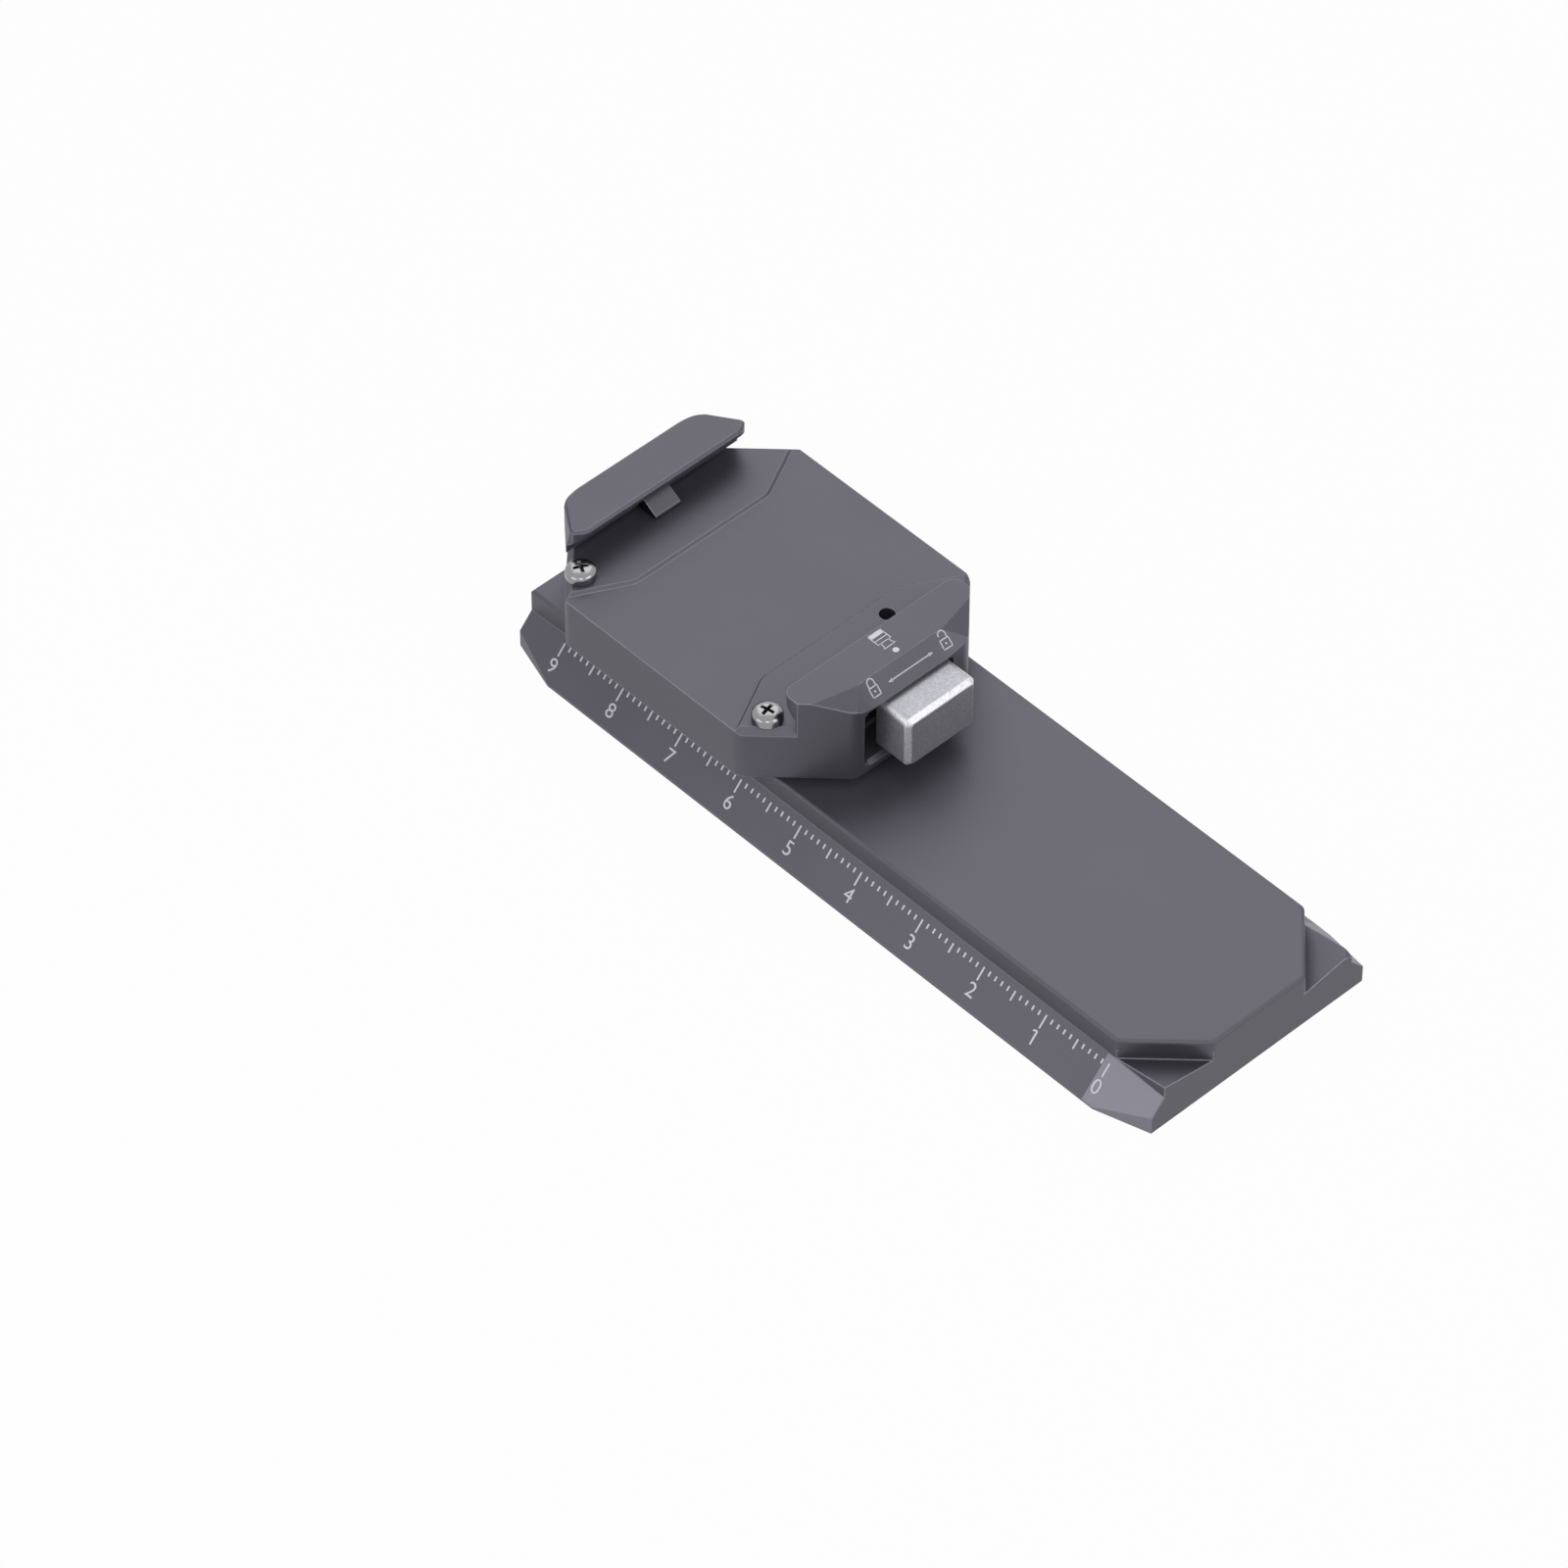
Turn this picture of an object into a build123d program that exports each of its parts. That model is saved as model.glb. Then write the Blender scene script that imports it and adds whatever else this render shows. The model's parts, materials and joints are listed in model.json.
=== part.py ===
from build123d import *
import math
import os

# A long dovetail plate with a millimetre scale, and an eight-sided quick-release clamp on its top.
# Millimetres. +X runs along the plate to the scale's zero, the scale's side is -Y, +Z is up.
# The origin is the middle of the plate's underside.

# Base plate
plate_length = 104.5
plate_width = 38.0
plate_height = 8.1
plateau_width = 29.75
rim_height = 0.6
slope_top = 5.2
taper_run = 7.15
taper_depth = 2.2
relief_run = 8.8
relief_drop = 0.35
pocket_cut = 7.65
pocket_rise = 1.25
pocket_cove = 1.2
pocket_overlap = 0.3
plateau_corner_radius = 1.0
plateau_edge_radius = 0.4
underside_bevel = 0.3

# Threaded holes in the plate's underside: a small camera thread either side of a large one
small_thread_radius = 2.55
large_thread_radius = 3.97
thread_depth = 5.8
thread_pitch_x = 15.0
thread_middle_x = 24.0

# Clamp housing
cover_thickness = 0.85
cover_inset = 0.8
body_length = 48.4
body_width = 36.8
body_corner = 9.6
body_inset = 0.15
body_height = 7.45
body_edge_radius = 2.0
body_rim_bevel = 0.8
seat_depth = 0.4
seat_half_length = 10.45
seat_flare_start = 10.5
seat_flare_slope = 0.52
seat_bend_radius = 3.0
seat_middle = -0.4
seat_bevel = 0.35
view_hole_radius = 1.0
view_hole_x = 12.75
view_hole_y = 6.9

# Jaws: the undercut that holds the edges of a camera plate
jaw_gap = 34.0
jaw_gap_middle = -0.25
jaw_height = 4.6
jaw_undercut = 2.3
lip_thickness = 0.8
jaw_root_height = 1.5
jaw_half_width = 13.6
jaw_corner_radius = 1.4
jaw_tip_radius = 2.0
jaw_turn_radius = 4.0
jaw_edge_bevel = 0.35
jaw_float = 0.4
jaw_outer_inset = 0.65
bevel_run = 2.35
bevel_drop = 2.25
bevel_flat_half = 5.0
bevel_end_radius = 10.0
bevel_end_half = 9.6
facet_tip_run = 3.7
facet_tip_y = 12.4
facet_inner_run = 2.55
facet_inner_y = 7.7
facet_drop = 1.5

# Release button and its lock travel
press_travel = 3.0
lock_travel = 2.6
button_width = 10.9
button_height = 7.6
button_top_gap = 0.4
button_middle_y = 0.75
button_reach = 4.1
button_back = 1.1
button_edge_radius = 1.0
button_front_bevel = 0.6
slot_gap = 0.3
slot_roof = 0.25
slot_wall = 0.85
slot_corner_radius = 0.8
slot_lip_bevel = 0.45

# Sledge that joins the button to the moving jaw
cavity_height = 5.05
cavity_half_width = 8.4
neck_half_width = 4.6
sledge_gap = 0.3
neck_gap = 0.4
sledge_height = 4.4
foot_half_width = 9.0
foot_length = 3.35
ear_start = 6.0
ear_half_width = 8.0
shoulder_x = -8.0
tee_length = 2.4
tee_width = 6.0
tee_height = 2.5
tee_wall = 1.6
tongue_width = 4.4
tongue_grip = 3.9
window_gap = 0.45
fit = 0.05

# Rods, springs, ball and pin
rod_radius = 0.8
rod_y = 6.6
rod_grip = 4.0
spring_wire = 0.4
spring_radius = 1.45
spring_turns = 5
coil_steps = 8
plunger_radius = 0.5
plunger_height = 0.8
plunger_proud = 0.2
groove_depth = 0.3
groove_width = 1.4
detent_spring_radius = 0.3
detent_spring_wire = 0.12
detent_spring_turns = 2
detent_hole_floor = 0.35
pin_radius = 0.8
pin_y = -0.15
pin_lift = 1.95
pin_spring_radius = 0.9
pin_spring_wire = 0.3
pin_spring_turns = 3
pin_collar_radius = 1.25
pin_collar_length = 0.7
pin_guide = 1.05
pin_travel = 0.5
nose_width = 3.9
nose_reach = 0.65
nose_lift = 0.2
nose_edge = 0.35
nose_ramp = 0.63
nose_bevel = 0.15
nose_gap = 0.1
plug_length = 0.75
plug_slot = 0.5

# Screws
stop_screw_spread = 31.4
stop_screw_inset = 3.9
stop_head_radius = 1.8
stop_head_height = 1.5
stop_shank_radius = 1.0
stop_shank_length = 3.5
clamp_screw_x = 14.0
clamp_screw_y = 11.2
clamp_head_radius = 2.75
clamp_head_height = 3.0
clamp_shank_radius = 1.5
clamp_thread_length = 3.6
cover_screw_y = 14.0
cover_screw_radius = 1.0
cover_screw_length = 4.0
cover_head_radius = 1.75
jaw_screw_y = 6.5
jaw_screw_radius = 1.0
jaw_screw_grip = 3.0
button_screw_radius = 0.8
button_screw_length = 4.6
button_screw_reach = 1.5
socket_depth = 0.7
hole_gap = 0.2

# Heights and places that follow from the sizes
half_plate = plate_length / 2
stop_screw_y = stop_screw_inset - body_width / 2
half_plateau = plateau_width / 2
body_bottom = plate_height + cover_thickness
strip_z = body_bottom + body_height
seat_z = strip_z - seat_depth
jaw_top = strip_z + jaw_height
clamp_x = -half_plate + body_inset + body_length / 2
half_body = body_length / 2
fixed_lip = jaw_gap_middle + jaw_gap / 2
moving_lip = jaw_gap_middle - jaw_gap / 2
fixed_root = fixed_lip + jaw_undercut
moving_root = moving_lip - jaw_undercut
jaw_outer = -half_body + jaw_outer_inset
bevel_edge_z = jaw_top - bevel_drop
slot_top = bevel_edge_z - slot_roof
button_top = slot_top - button_top_gap
button_bottom = button_top - button_height
slot_bottom = button_bottom - slot_gap
button_depth = press_travel + button_back
slot_back = half_body - button_depth - slot_gap
cavity_end = slot_back - slot_wall
cavity_top = body_bottom + cavity_height
sledge_bottom = body_bottom + sledge_gap
sledge_top = sledge_bottom + sledge_height
sledge_end = cavity_end - sledge_gap
notch_x = moving_root - sledge_gap
tee_top = sledge_top - fit
tee_bottom = tee_top - tee_height
tee_end = sledge_end - tee_wall
tee_start = tee_end - tee_length
rod_z = (sledge_bottom + sledge_top) / 2
jaw_bottom = strip_z + jaw_float
pin_z = strip_z + pin_lift
collar_front = moving_root - pin_guide
nose_tip = moving_lip + nose_reach
nose_bottom = strip_z + nose_lift
nose_top = nose_bottom + nose_edge + nose_ramp * (nose_tip - moving_root)
jaw_screw_x = jaw_outer + foot_length / 2
slot_width = button_width + lock_travel + 2 * slot_gap
slot_middle_y = button_middle_y - lock_travel / 2
window_width = tongue_width + lock_travel + 2 * window_gap
tongue_end = half_body - button_back + tongue_grip
button_screw_x = tongue_end - button_screw_reach
tee_middle = (tee_start + tee_end) / 2
plunger_top = tee_bottom - fit + plunger_proud
detent_floor = sledge_bottom + detent_hole_floor

os.makedirs("parts", exist_ok=True)


def octagon(inset, radius):
    """Outline of the clamp with its corners cut at 45 degrees, drawn about the clamp's middle."""
    with BuildSketch(Plane.XY) as outline:
        with Locations((clamp_x, 0)):
            Rectangle(body_length - 2 * inset, body_width - 2 * inset)
        chamfer(outline.vertices(), body_corner - inset * (2 - math.sqrt(2)))
        if radius > 0:
            fillet(outline.vertices(), radius)
    return outline.sketch


def screw(head_radius, head_height, shank_radius, shank_length):
    """Half section of a cylinder-head screw: the head's seat is at zero and its shank points down."""
    return [
        (0, -shank_length),
        (shank_radius, -shank_length),
        (shank_radius, 0),
        (head_radius, 0),
        (head_radius, head_height),
        (0, head_height),
    ]


def coil(start, direction, length, radius, wire, turns):
    """Compression spring of square wire, bent in straight steps, from its start along a direction."""
    seat = Plane(origin=start, z_dir=direction)
    corners = []
    for step in range(turns * coil_steps + 1):
        angle = 2 * math.pi * step / coil_steps
        rise = wire / 2 + (length - wire) * step / (turns * coil_steps)
        place = Vector(radius * math.cos(angle), radius * math.sin(angle), rise)
        corners.append(seat.from_local_coords(place))
    path = Polyline(*corners)
    section = Plane(origin=path @ 0, z_dir=path % 0) * Rectangle(wire, wire)
    return sweep(section, path=path, transition=Transition.RIGHT)


# Floors of the two corner pockets at the zero end: a hollow foot, and a floor that rises to the corner
with BuildPart() as pocket_floors:
    pocket_depth = pocket_cut * math.sqrt(0.5)
    for side_y in (-1, 1):
        toward_corner = Vector(1, side_y, 0).normalized()
        foot = Vector(half_plate - pocket_cut / 2, side_y * (half_plateau - pocket_cut / 2), slope_top)
        section = Plane(origin=foot, x_dir=toward_corner, z_dir=toward_corner.cross(Vector(0, 0, 1)))
        with BuildSketch(section):
            with BuildLine():
                Polyline(
                    (-pocket_overlap, -pocket_rise),
                    (pocket_depth, -pocket_rise),
                    (pocket_depth, pocket_rise),
                    (0, 0),
                    (0, pocket_cove),
                    (-pocket_overlap, pocket_cove),
                    close=True,
                )
            floor = make_face()
            fillet(floor.vertices().sort_by_distance(foot)[0], 0.8 * pocket_cove)
        extrude(amount=pocket_cut, both=True)
    with BuildSketch(Plane.XY):
        Rectangle(plate_length, plateau_width)
    extrude(amount=plate_height, mode=Mode.INTERSECT)

# Base plate
with BuildPart() as base_plate:
    with BuildSketch(Plane.YZ):
        with BuildLine():
            Polyline(
                (-plate_width / 2, rim_height),
                (-plate_width / 2, 0),
                (plate_width / 2, 0),
                (plate_width / 2, rim_height),
                (half_plateau, slope_top),
                (-half_plateau, slope_top),
                close=True,
            )
        make_face()
    extrude(amount=half_plate, both=True)

    # Tapered ends of the dovetail, in plan
    for side_x in (-1, 1):
        for side_y in (-1, 1):
            with BuildSketch(Plane.XY):
                with BuildLine():
                    Polyline(
                        (side_x * (half_plate - taper_run), side_y * plate_width / 2),
                        (side_x * half_plate, side_y * (plate_width / 2 - taper_depth)),
                        (side_x * (half_plate + 1), side_y * (plate_width / 2 - taper_depth)),
                        (side_x * (half_plate + 1), side_y * (plate_width / 2 + 1)),
                        (side_x * (half_plate - taper_run), side_y * (plate_width / 2 + 1)),
                        close=True,
                    )
                make_face()
            extrude(amount=plate_height, mode=Mode.SUBTRACT)
    chamfer(base_plate.faces().sort_by(Axis.Z)[0].edges(), underside_bevel)

    # Lead-in reliefs: the slope turns down a little towards each end
    fall_at_edge = (slope_top - rim_height) / (plate_width / 2 - half_plateau)
    outside_y = plate_width / 2 + 1
    outside_z = slope_top - fall_at_edge * (outside_y - half_plateau)
    for side_x in (-1, 1):
        for side_y in (-1, 1):
            with BuildSketch(Plane.YZ.offset(side_x * half_plate)):
                with BuildLine():
                    Polyline(
                        (side_y * half_plateau, slope_top - relief_drop),
                        (side_y * outside_y, outside_z - relief_drop),
                        (side_y * outside_y, plate_height),
                        (side_y * half_plateau, plate_height),
                        close=True,
                    )
                make_face()
            extrude(
                amount=math.hypot(relief_run, relief_drop),
                dir=(-side_x * relief_run, 0, relief_drop),
                mode=Mode.SUBTRACT,
            )

    # Plateau, with its corners cut across at the zero end
    with BuildSketch(Plane.XY.offset(slope_top)):
        with BuildLine():
            Polyline(
                (-half_plate, -half_plateau),
                (half_plate - pocket_cut, -half_plateau),
                (half_plate, pocket_cut - half_plateau),
                (half_plate, half_plateau - pocket_cut),
                (half_plate - pocket_cut, half_plateau),
                (-half_plate, half_plateau),
                close=True,
            )
        plateau = make_face()
        fillet(plateau.vertices().filter_by(lambda corner: corner.X > 0), plateau_corner_radius)
    extrude(amount=plate_height - slope_top)
    fillet(base_plate.faces().sort_by(Axis.Z)[-1].edges(), plateau_edge_radius)
    add(pocket_floors.part)

    # Counterbores and threaded holes, from the underside
    with Locations(Location((clamp_x, 0, 0), (180, 0, 0))):
        with GridLocations(2 * clamp_screw_x, 2 * clamp_screw_y, 2, 2):
            CounterBoreHole(
                radius=clamp_shank_radius + hole_gap,
                counter_bore_radius=clamp_head_radius + hole_gap,
                counter_bore_depth=clamp_head_height + hole_gap,
                depth=plate_height,
            )
    with Locations(Location((thread_middle_x, 0, 0), (180, 0, 0))):
        Hole(radius=large_thread_radius, depth=thread_depth)
        with GridLocations(2 * thread_pitch_x, 0, 2, 1):
            Hole(radius=small_thread_radius, depth=thread_depth)
base_plate.part.label = "base_plate"
export_step(base_plate.part, "parts/base_plate.step")

# Fixed jaw, which is one piece with the clamp housing
with BuildPart() as fixed_jaw:
    with BuildSketch(Plane.XZ):
        with BuildLine():
            Polyline(
                (clamp_x + fixed_root, strip_z - 2 * body_rim_bevel),
                (clamp_x + fixed_root, strip_z + jaw_root_height),
                (clamp_x + fixed_lip, jaw_top - lip_thickness),
                (clamp_x + fixed_lip, jaw_top),
                (clamp_x + half_body, jaw_top),
                (clamp_x + half_body, strip_z - 2 * body_rim_bevel),
                close=True,
            )
        make_face()
    extrude(amount=jaw_half_width, both=True)
    with BuildSketch(Plane.XY):
        add(octagon(0, body_edge_radius))
        with Locations((clamp_x + fixed_lip + body_length / 2, 0)):
            RectangleRounded(body_length, 2 * jaw_half_width, jaw_corner_radius, mode=Mode.INTERSECT)
    extrude(amount=jaw_top, mode=Mode.INTERSECT)

    # Bevel behind the jaw's top, shallower at both ends
    rise = bevel_end_radius - math.sqrt(bevel_end_radius**2 - (bevel_end_half - bevel_flat_half) ** 2)
    with BuildSketch(Plane.YZ.offset(clamp_x + half_body)):
        with BuildLine():
            flat = Line((-bevel_flat_half, bevel_edge_z), (bevel_flat_half, bevel_edge_z))
            right = RadiusArc(flat @ 1, (bevel_end_half, bevel_edge_z + rise), -bevel_end_radius)
            left = RadiusArc((-bevel_end_half, bevel_edge_z + rise), flat @ 0, -bevel_end_radius)
            Polyline(
                right @ 1,
                (bevel_end_half, jaw_top + bevel_drop),
                (-bevel_end_half, jaw_top + bevel_drop),
                left @ 0,
            )
        make_face()
    extrude(amount=2 * bevel_run, dir=(-bevel_run, 0, bevel_drop), mode=Mode.SUBTRACT)

    # Sloping facet that turns the bevel round each end of the jaw
    for side_y in (-1, 1):
        tip = Vector(clamp_x + half_body - facet_tip_run, side_y * facet_tip_y, jaw_top)
        inner = Vector(clamp_x + half_body - facet_inner_run, side_y * facet_inner_y, jaw_top)
        corner_y = body_width / 2 - body_corner
        outer = Vector(clamp_x + half_body, side_y * corner_y, jaw_top - facet_drop)
        normal = (inner - tip).cross(outer - tip) * side_y
        with BuildSketch(Plane(origin=outer, z_dir=normal)):
            Rectangle(2 * body_width, 2 * body_width)
        extrude(amount=facet_drop * 2, mode=Mode.SUBTRACT)

# Clamp housing
with BuildPart() as clamp_body:
    with BuildSketch(Plane.XY.offset(body_bottom)):
        add(octagon(0, body_edge_radius))
    extrude(amount=body_height)

    # Light bevel along the four corner edges
    for side_x in (-1, 1):
        for side_y in (-1, 1):
            toward_corner = Vector(side_x, side_y, 0).normalized()
            edge_middle = Vector(
                clamp_x + side_x * (half_body - body_corner / 2),
                side_y * (body_width - body_corner) / 2,
                strip_z,
            )
            section = Plane(
                origin=edge_middle, x_dir=toward_corner, z_dir=toward_corner.cross(Vector(0, 0, 1))
            )
            with BuildSketch(section):
                with BuildLine():
                    Polyline(
                        (-body_rim_bevel, 0),
                        (body_rim_bevel, -2 * body_rim_bevel),
                        (body_rim_bevel, body_rim_bevel),
                        (-body_rim_bevel, body_rim_bevel),
                        close=True,
                    )
                make_face()
            extrude(amount=body_corner, both=True, mode=Mode.SUBTRACT)

    # Middle seat, a step below the two side strips and wider at the front and back
    flare_y = body_width / 2 + 1
    flare_x = seat_half_length + seat_flare_slope * (flare_y - seat_flare_start)
    seat_x = clamp_x + seat_middle
    with BuildSketch(Plane.XY.offset(seat_z)) as seat_outline:
        with BuildLine():
            Polyline(
                (seat_x + seat_half_length, -seat_flare_start),
                (seat_x + seat_half_length, seat_flare_start),
                (seat_x + flare_x, flare_y),
                (seat_x - flare_x, flare_y),
                (seat_x - seat_half_length, seat_flare_start),
                (seat_x - seat_half_length, -seat_flare_start),
                (seat_x - flare_x, -flare_y),
                (seat_x + flare_x, -flare_y),
                close=True,
            )
        seat = make_face()
        bends = seat.vertices().filter_by(lambda bend: abs(bend.Y) < flare_y - 1)
        fillet(bends, seat_bend_radius)
    extrude(amount=body_height, mode=Mode.SUBTRACT)
    with BuildSketch(Plane.XY.offset(strip_z - seat_bevel)):
        add(seat_outline.sketch.moved(Location((0, 0, -seat_z))))
    extrude(amount=2 * seat_bevel, taper=-45, mode=Mode.SUBTRACT)

    add(fixed_jaw.part)

    # Cavity for the sledge, open underneath, and the notch for the moving jaw's foot
    cavity_length = cavity_end - shoulder_x
    neck_cavity = half_body + shoulder_x
    with BuildSketch(Plane.XY.offset(body_bottom)):
        with Locations((clamp_x + shoulder_x + cavity_length / 2, 0)):
            Rectangle(cavity_length, 2 * cavity_half_width)
        with Locations((clamp_x + shoulder_x - neck_cavity / 2, 0)):
            Rectangle(neck_cavity, 2 * (neck_half_width + neck_gap))
    extrude(amount=cavity_height, mode=Mode.SUBTRACT)
    with BuildSketch(Plane.XY.offset(body_bottom)):
        with Locations((clamp_x + notch_x - half_body, 0)):
            Rectangle(2 * half_body, 2 * (foot_half_width + sledge_gap))
    extrude(amount=body_height, mode=Mode.SUBTRACT)

    # Slot for the release button, with the window behind it
    with BuildSketch(Plane.YZ.offset(clamp_x + slot_back)):
        with Locations((slot_middle_y, (slot_bottom + slot_top) / 2)):
            RectangleRounded(slot_width, slot_top - slot_bottom, slot_corner_radius)
    extrude(amount=half_body, mode=Mode.SUBTRACT)
    with BuildSketch(Plane.YZ.offset(clamp_x + cavity_end - fit)):
        with Locations((slot_middle_y, (tee_bottom - window_gap + cavity_top) / 2)):
            Rectangle(window_width, cavity_top - tee_bottom + window_gap)
    extrude(amount=slot_wall + 2 * fit, mode=Mode.SUBTRACT)
    with BuildSketch(Plane.XZ.offset(-slot_middle_y)):
        with BuildLine():
            Polyline(
                (clamp_x + half_body - slot_lip_bevel, slot_bottom),
                (clamp_x + half_body, slot_bottom - slot_lip_bevel),
                (clamp_x + half_body + slot_lip_bevel, slot_bottom),
                (clamp_x + half_body, slot_bottom + slot_lip_bevel),
                close=True,
            )
        make_face()
    extrude(amount=slot_width / 2 - slot_corner_radius, both=True, mode=Mode.SUBTRACT)

    # Holes: stop screws from the top, all others from the underside, rods from the cavity
    with Locations((clamp_x + jaw_gap_middle, stop_screw_y, strip_z)):
        with GridLocations(stop_screw_spread, 0, 2, 1):
            Hole(radius=stop_shank_radius + fit, depth=stop_shank_length + hole_gap)
    with Locations((clamp_x + view_hole_x, view_hole_y, strip_z)):
        Hole(radius=view_hole_radius, depth=strip_z - cavity_top + fit)
    with Locations(Location((clamp_x, 0, body_bottom), (180, 0, 0))):
        with GridLocations(2 * clamp_screw_x, 2 * clamp_screw_y, 2, 2):
            Hole(radius=clamp_shank_radius + fit, depth=clamp_thread_length + hole_gap)
        with GridLocations(0, 2 * cover_screw_y, 1, 2):
            Hole(radius=cover_screw_radius + fit, depth=cover_screw_length)
    with BuildSketch(Plane.YZ.offset(clamp_x + shoulder_x)):
        with Locations((-rod_y, rod_z), (rod_y, rod_z)):
            Circle(rod_radius)
    extrude(amount=-rod_grip, mode=Mode.SUBTRACT)
clamp_body.part.label = "clamp_body"
export_step(clamp_body.part, "parts/clamp_body.step")

# Cover under the housing
with BuildPart() as bottom_cover:
    with BuildSketch(Plane.XY.offset(plate_height)):
        add(octagon(cover_inset, 0))
        with Locations((clamp_x, 0)):
            with GridLocations(2 * clamp_screw_x, 2 * clamp_screw_y, 2, 2):
                Circle(clamp_shank_radius + hole_gap, mode=Mode.SUBTRACT)
    extrude(amount=cover_thickness)
    with Locations(Location((clamp_x, 0, plate_height), (180, 0, 0))):
        with GridLocations(0, 2 * cover_screw_y, 1, 2):
            CounterSinkHole(
                radius=cover_screw_radius + fit,
                counter_sink_radius=cover_head_radius + fit,
                depth=cover_thickness,
                counter_sink_angle=90,
            )
bottom_cover.part.label = "bottom_cover"
export_step(bottom_cover.part, "parts/bottom_cover.step")

# Countersunk screws that hold the cover
with BuildPart() as cover_screw:
    cone = cover_head_radius - cover_screw_radius
    with BuildSketch(Plane.XZ):
        with BuildLine():
            Polyline(
                (0, 0),
                (cover_head_radius, 0),
                (cover_screw_radius, cone),
                (cover_screw_radius, cover_screw_length),
                (0, cover_screw_length),
                close=True,
            )
        make_face()
    revolve(axis=Axis.Z)
with BuildPart() as cover_screws:
    with Locations((clamp_x, 0, plate_height)):
        with GridLocations(0, 2 * cover_screw_y, 1, 2):
            add(cover_screw.part)
cover_screws.part.label = "cover_screws"
export_step(cover_screws.part, "parts/cover_screws.step")

# Socket screws that hold the clamp on the plate, from below
with BuildPart() as clamp_screw:
    clamp_shank = plate_height - clamp_head_height - hole_gap + cover_thickness + clamp_thread_length
    with BuildSketch(Plane.XZ):
        with BuildLine():
            Polyline(
                *screw(clamp_head_radius, clamp_head_height, clamp_shank_radius, clamp_shank),
                close=True,
            )
        make_face()
    revolve(axis=Axis.Z)
    with BuildSketch(Plane.XY.offset(clamp_head_height)):
        RegularPolygon(clamp_shank_radius, 6)
    extrude(amount=-2 * socket_depth, mode=Mode.SUBTRACT)
with BuildPart() as clamp_screws:
    with Locations(Location((clamp_x, 0, clamp_head_height + hole_gap), (180, 0, 0))):
        with GridLocations(2 * clamp_screw_x, 2 * clamp_screw_y, 2, 2):
            add(clamp_screw.part)
clamp_screws.part.label = "clamp_screws"
export_step(clamp_screws.part, "parts/clamp_screws.step")

# Stop screws on the side strips
with BuildPart() as stop_screw:
    with BuildSketch(Plane.XZ):
        with BuildLine():
            Polyline(
                *screw(stop_head_radius, stop_head_height, stop_shank_radius, stop_shank_length),
                close=True,
            )
        make_face()
    revolve(axis=Axis.Z)
with BuildPart() as stop_screws:
    with Locations((clamp_x + jaw_gap_middle, stop_screw_y, strip_z)):
        with GridLocations(stop_screw_spread, 0, 2, 1):
            add(stop_screw.part)
stop_screws.part.label = "stop_screws"
export_step(stop_screws.part, "parts/stop_screws.step")

# Guide rods, pressed into the housing's shoulder
with BuildPart() as guide_rods:
    with BuildSketch(Plane.YZ.offset(clamp_x + shoulder_x - rod_grip)):
        with Locations((-rod_y, rod_z), (rod_y, rod_z)):
            Circle(rod_radius)
    extrude(amount=sledge_end - shoulder_x + rod_grip)
guide_rods.part.label = "guide_rods"
export_step(guide_rods.part, "parts/guide_rods.step")

# Springs round the rods
for name, side_y in (("jaw_spring_left", -1), ("jaw_spring_right", 1)):
    start = Vector(clamp_x + shoulder_x, side_y * rod_y, rod_z)
    wire = coil(start, (1, 0, 0), ear_start - shoulder_x, spring_radius, spring_wire, spring_turns)
    with BuildPart() as jaw_spring:
        add(wire)
    jaw_spring.part.label = name
    export_step(jaw_spring.part, f"parts/{name}.step")

# Sledge: foot under the moving jaw, neck, and the ear that slides on the rods
with BuildPart() as jaw_carriage:
    with BuildSketch(Plane.XY.offset(sledge_bottom)):
        with Locations((clamp_x + jaw_outer + foot_length / 2, 0)):
            Rectangle(foot_length, 2 * foot_half_width)
        with Locations((clamp_x + (jaw_outer + sledge_end) / 2, 0)):
            Rectangle(sledge_end - jaw_outer, 2 * neck_half_width)
        with Locations((clamp_x + (ear_start + sledge_end) / 2, 0)):
            Rectangle(sledge_end - ear_start, 2 * ear_half_width)
    extrude(amount=sledge_height)
    with BuildSketch(Plane.YZ.offset(clamp_x + ear_start)):
        with Locations((-rod_y, rod_z), (rod_y, rod_z)):
            Circle(rod_radius + fit)
    extrude(amount=sledge_end - ear_start, mode=Mode.SUBTRACT)

    # T-shaped slot, open at the top, that lets the button shift sideways
    with BuildSketch(Plane.XY.offset(tee_bottom - fit)):
        with Locations((clamp_x + tee_middle, slot_middle_y)):
            Rectangle(tee_length + 2 * fit, tee_width + lock_travel + 2 * sledge_gap)
        with Locations((clamp_x + tee_end + tee_wall, slot_middle_y)):
            Rectangle(2 * tee_wall + fit, tongue_width + lock_travel + 2 * sledge_gap)
    extrude(amount=sledge_height, mode=Mode.SUBTRACT)
    with Locations((clamp_x + tee_middle, slot_middle_y, tee_bottom - fit)):
        Hole(radius=plunger_radius + fit, depth=tee_bottom - fit - detent_floor)
    with Locations(Location((clamp_x + jaw_screw_x, 0, sledge_bottom), (180, 0, 0))):
        with GridLocations(0, 2 * jaw_screw_y, 1, 2):
            Hole(radius=jaw_screw_radius + fit, depth=sledge_height)
jaw_carriage.part.label = "jaw_carriage"
export_step(jaw_carriage.part, "parts/jaw_carriage.step")

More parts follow.
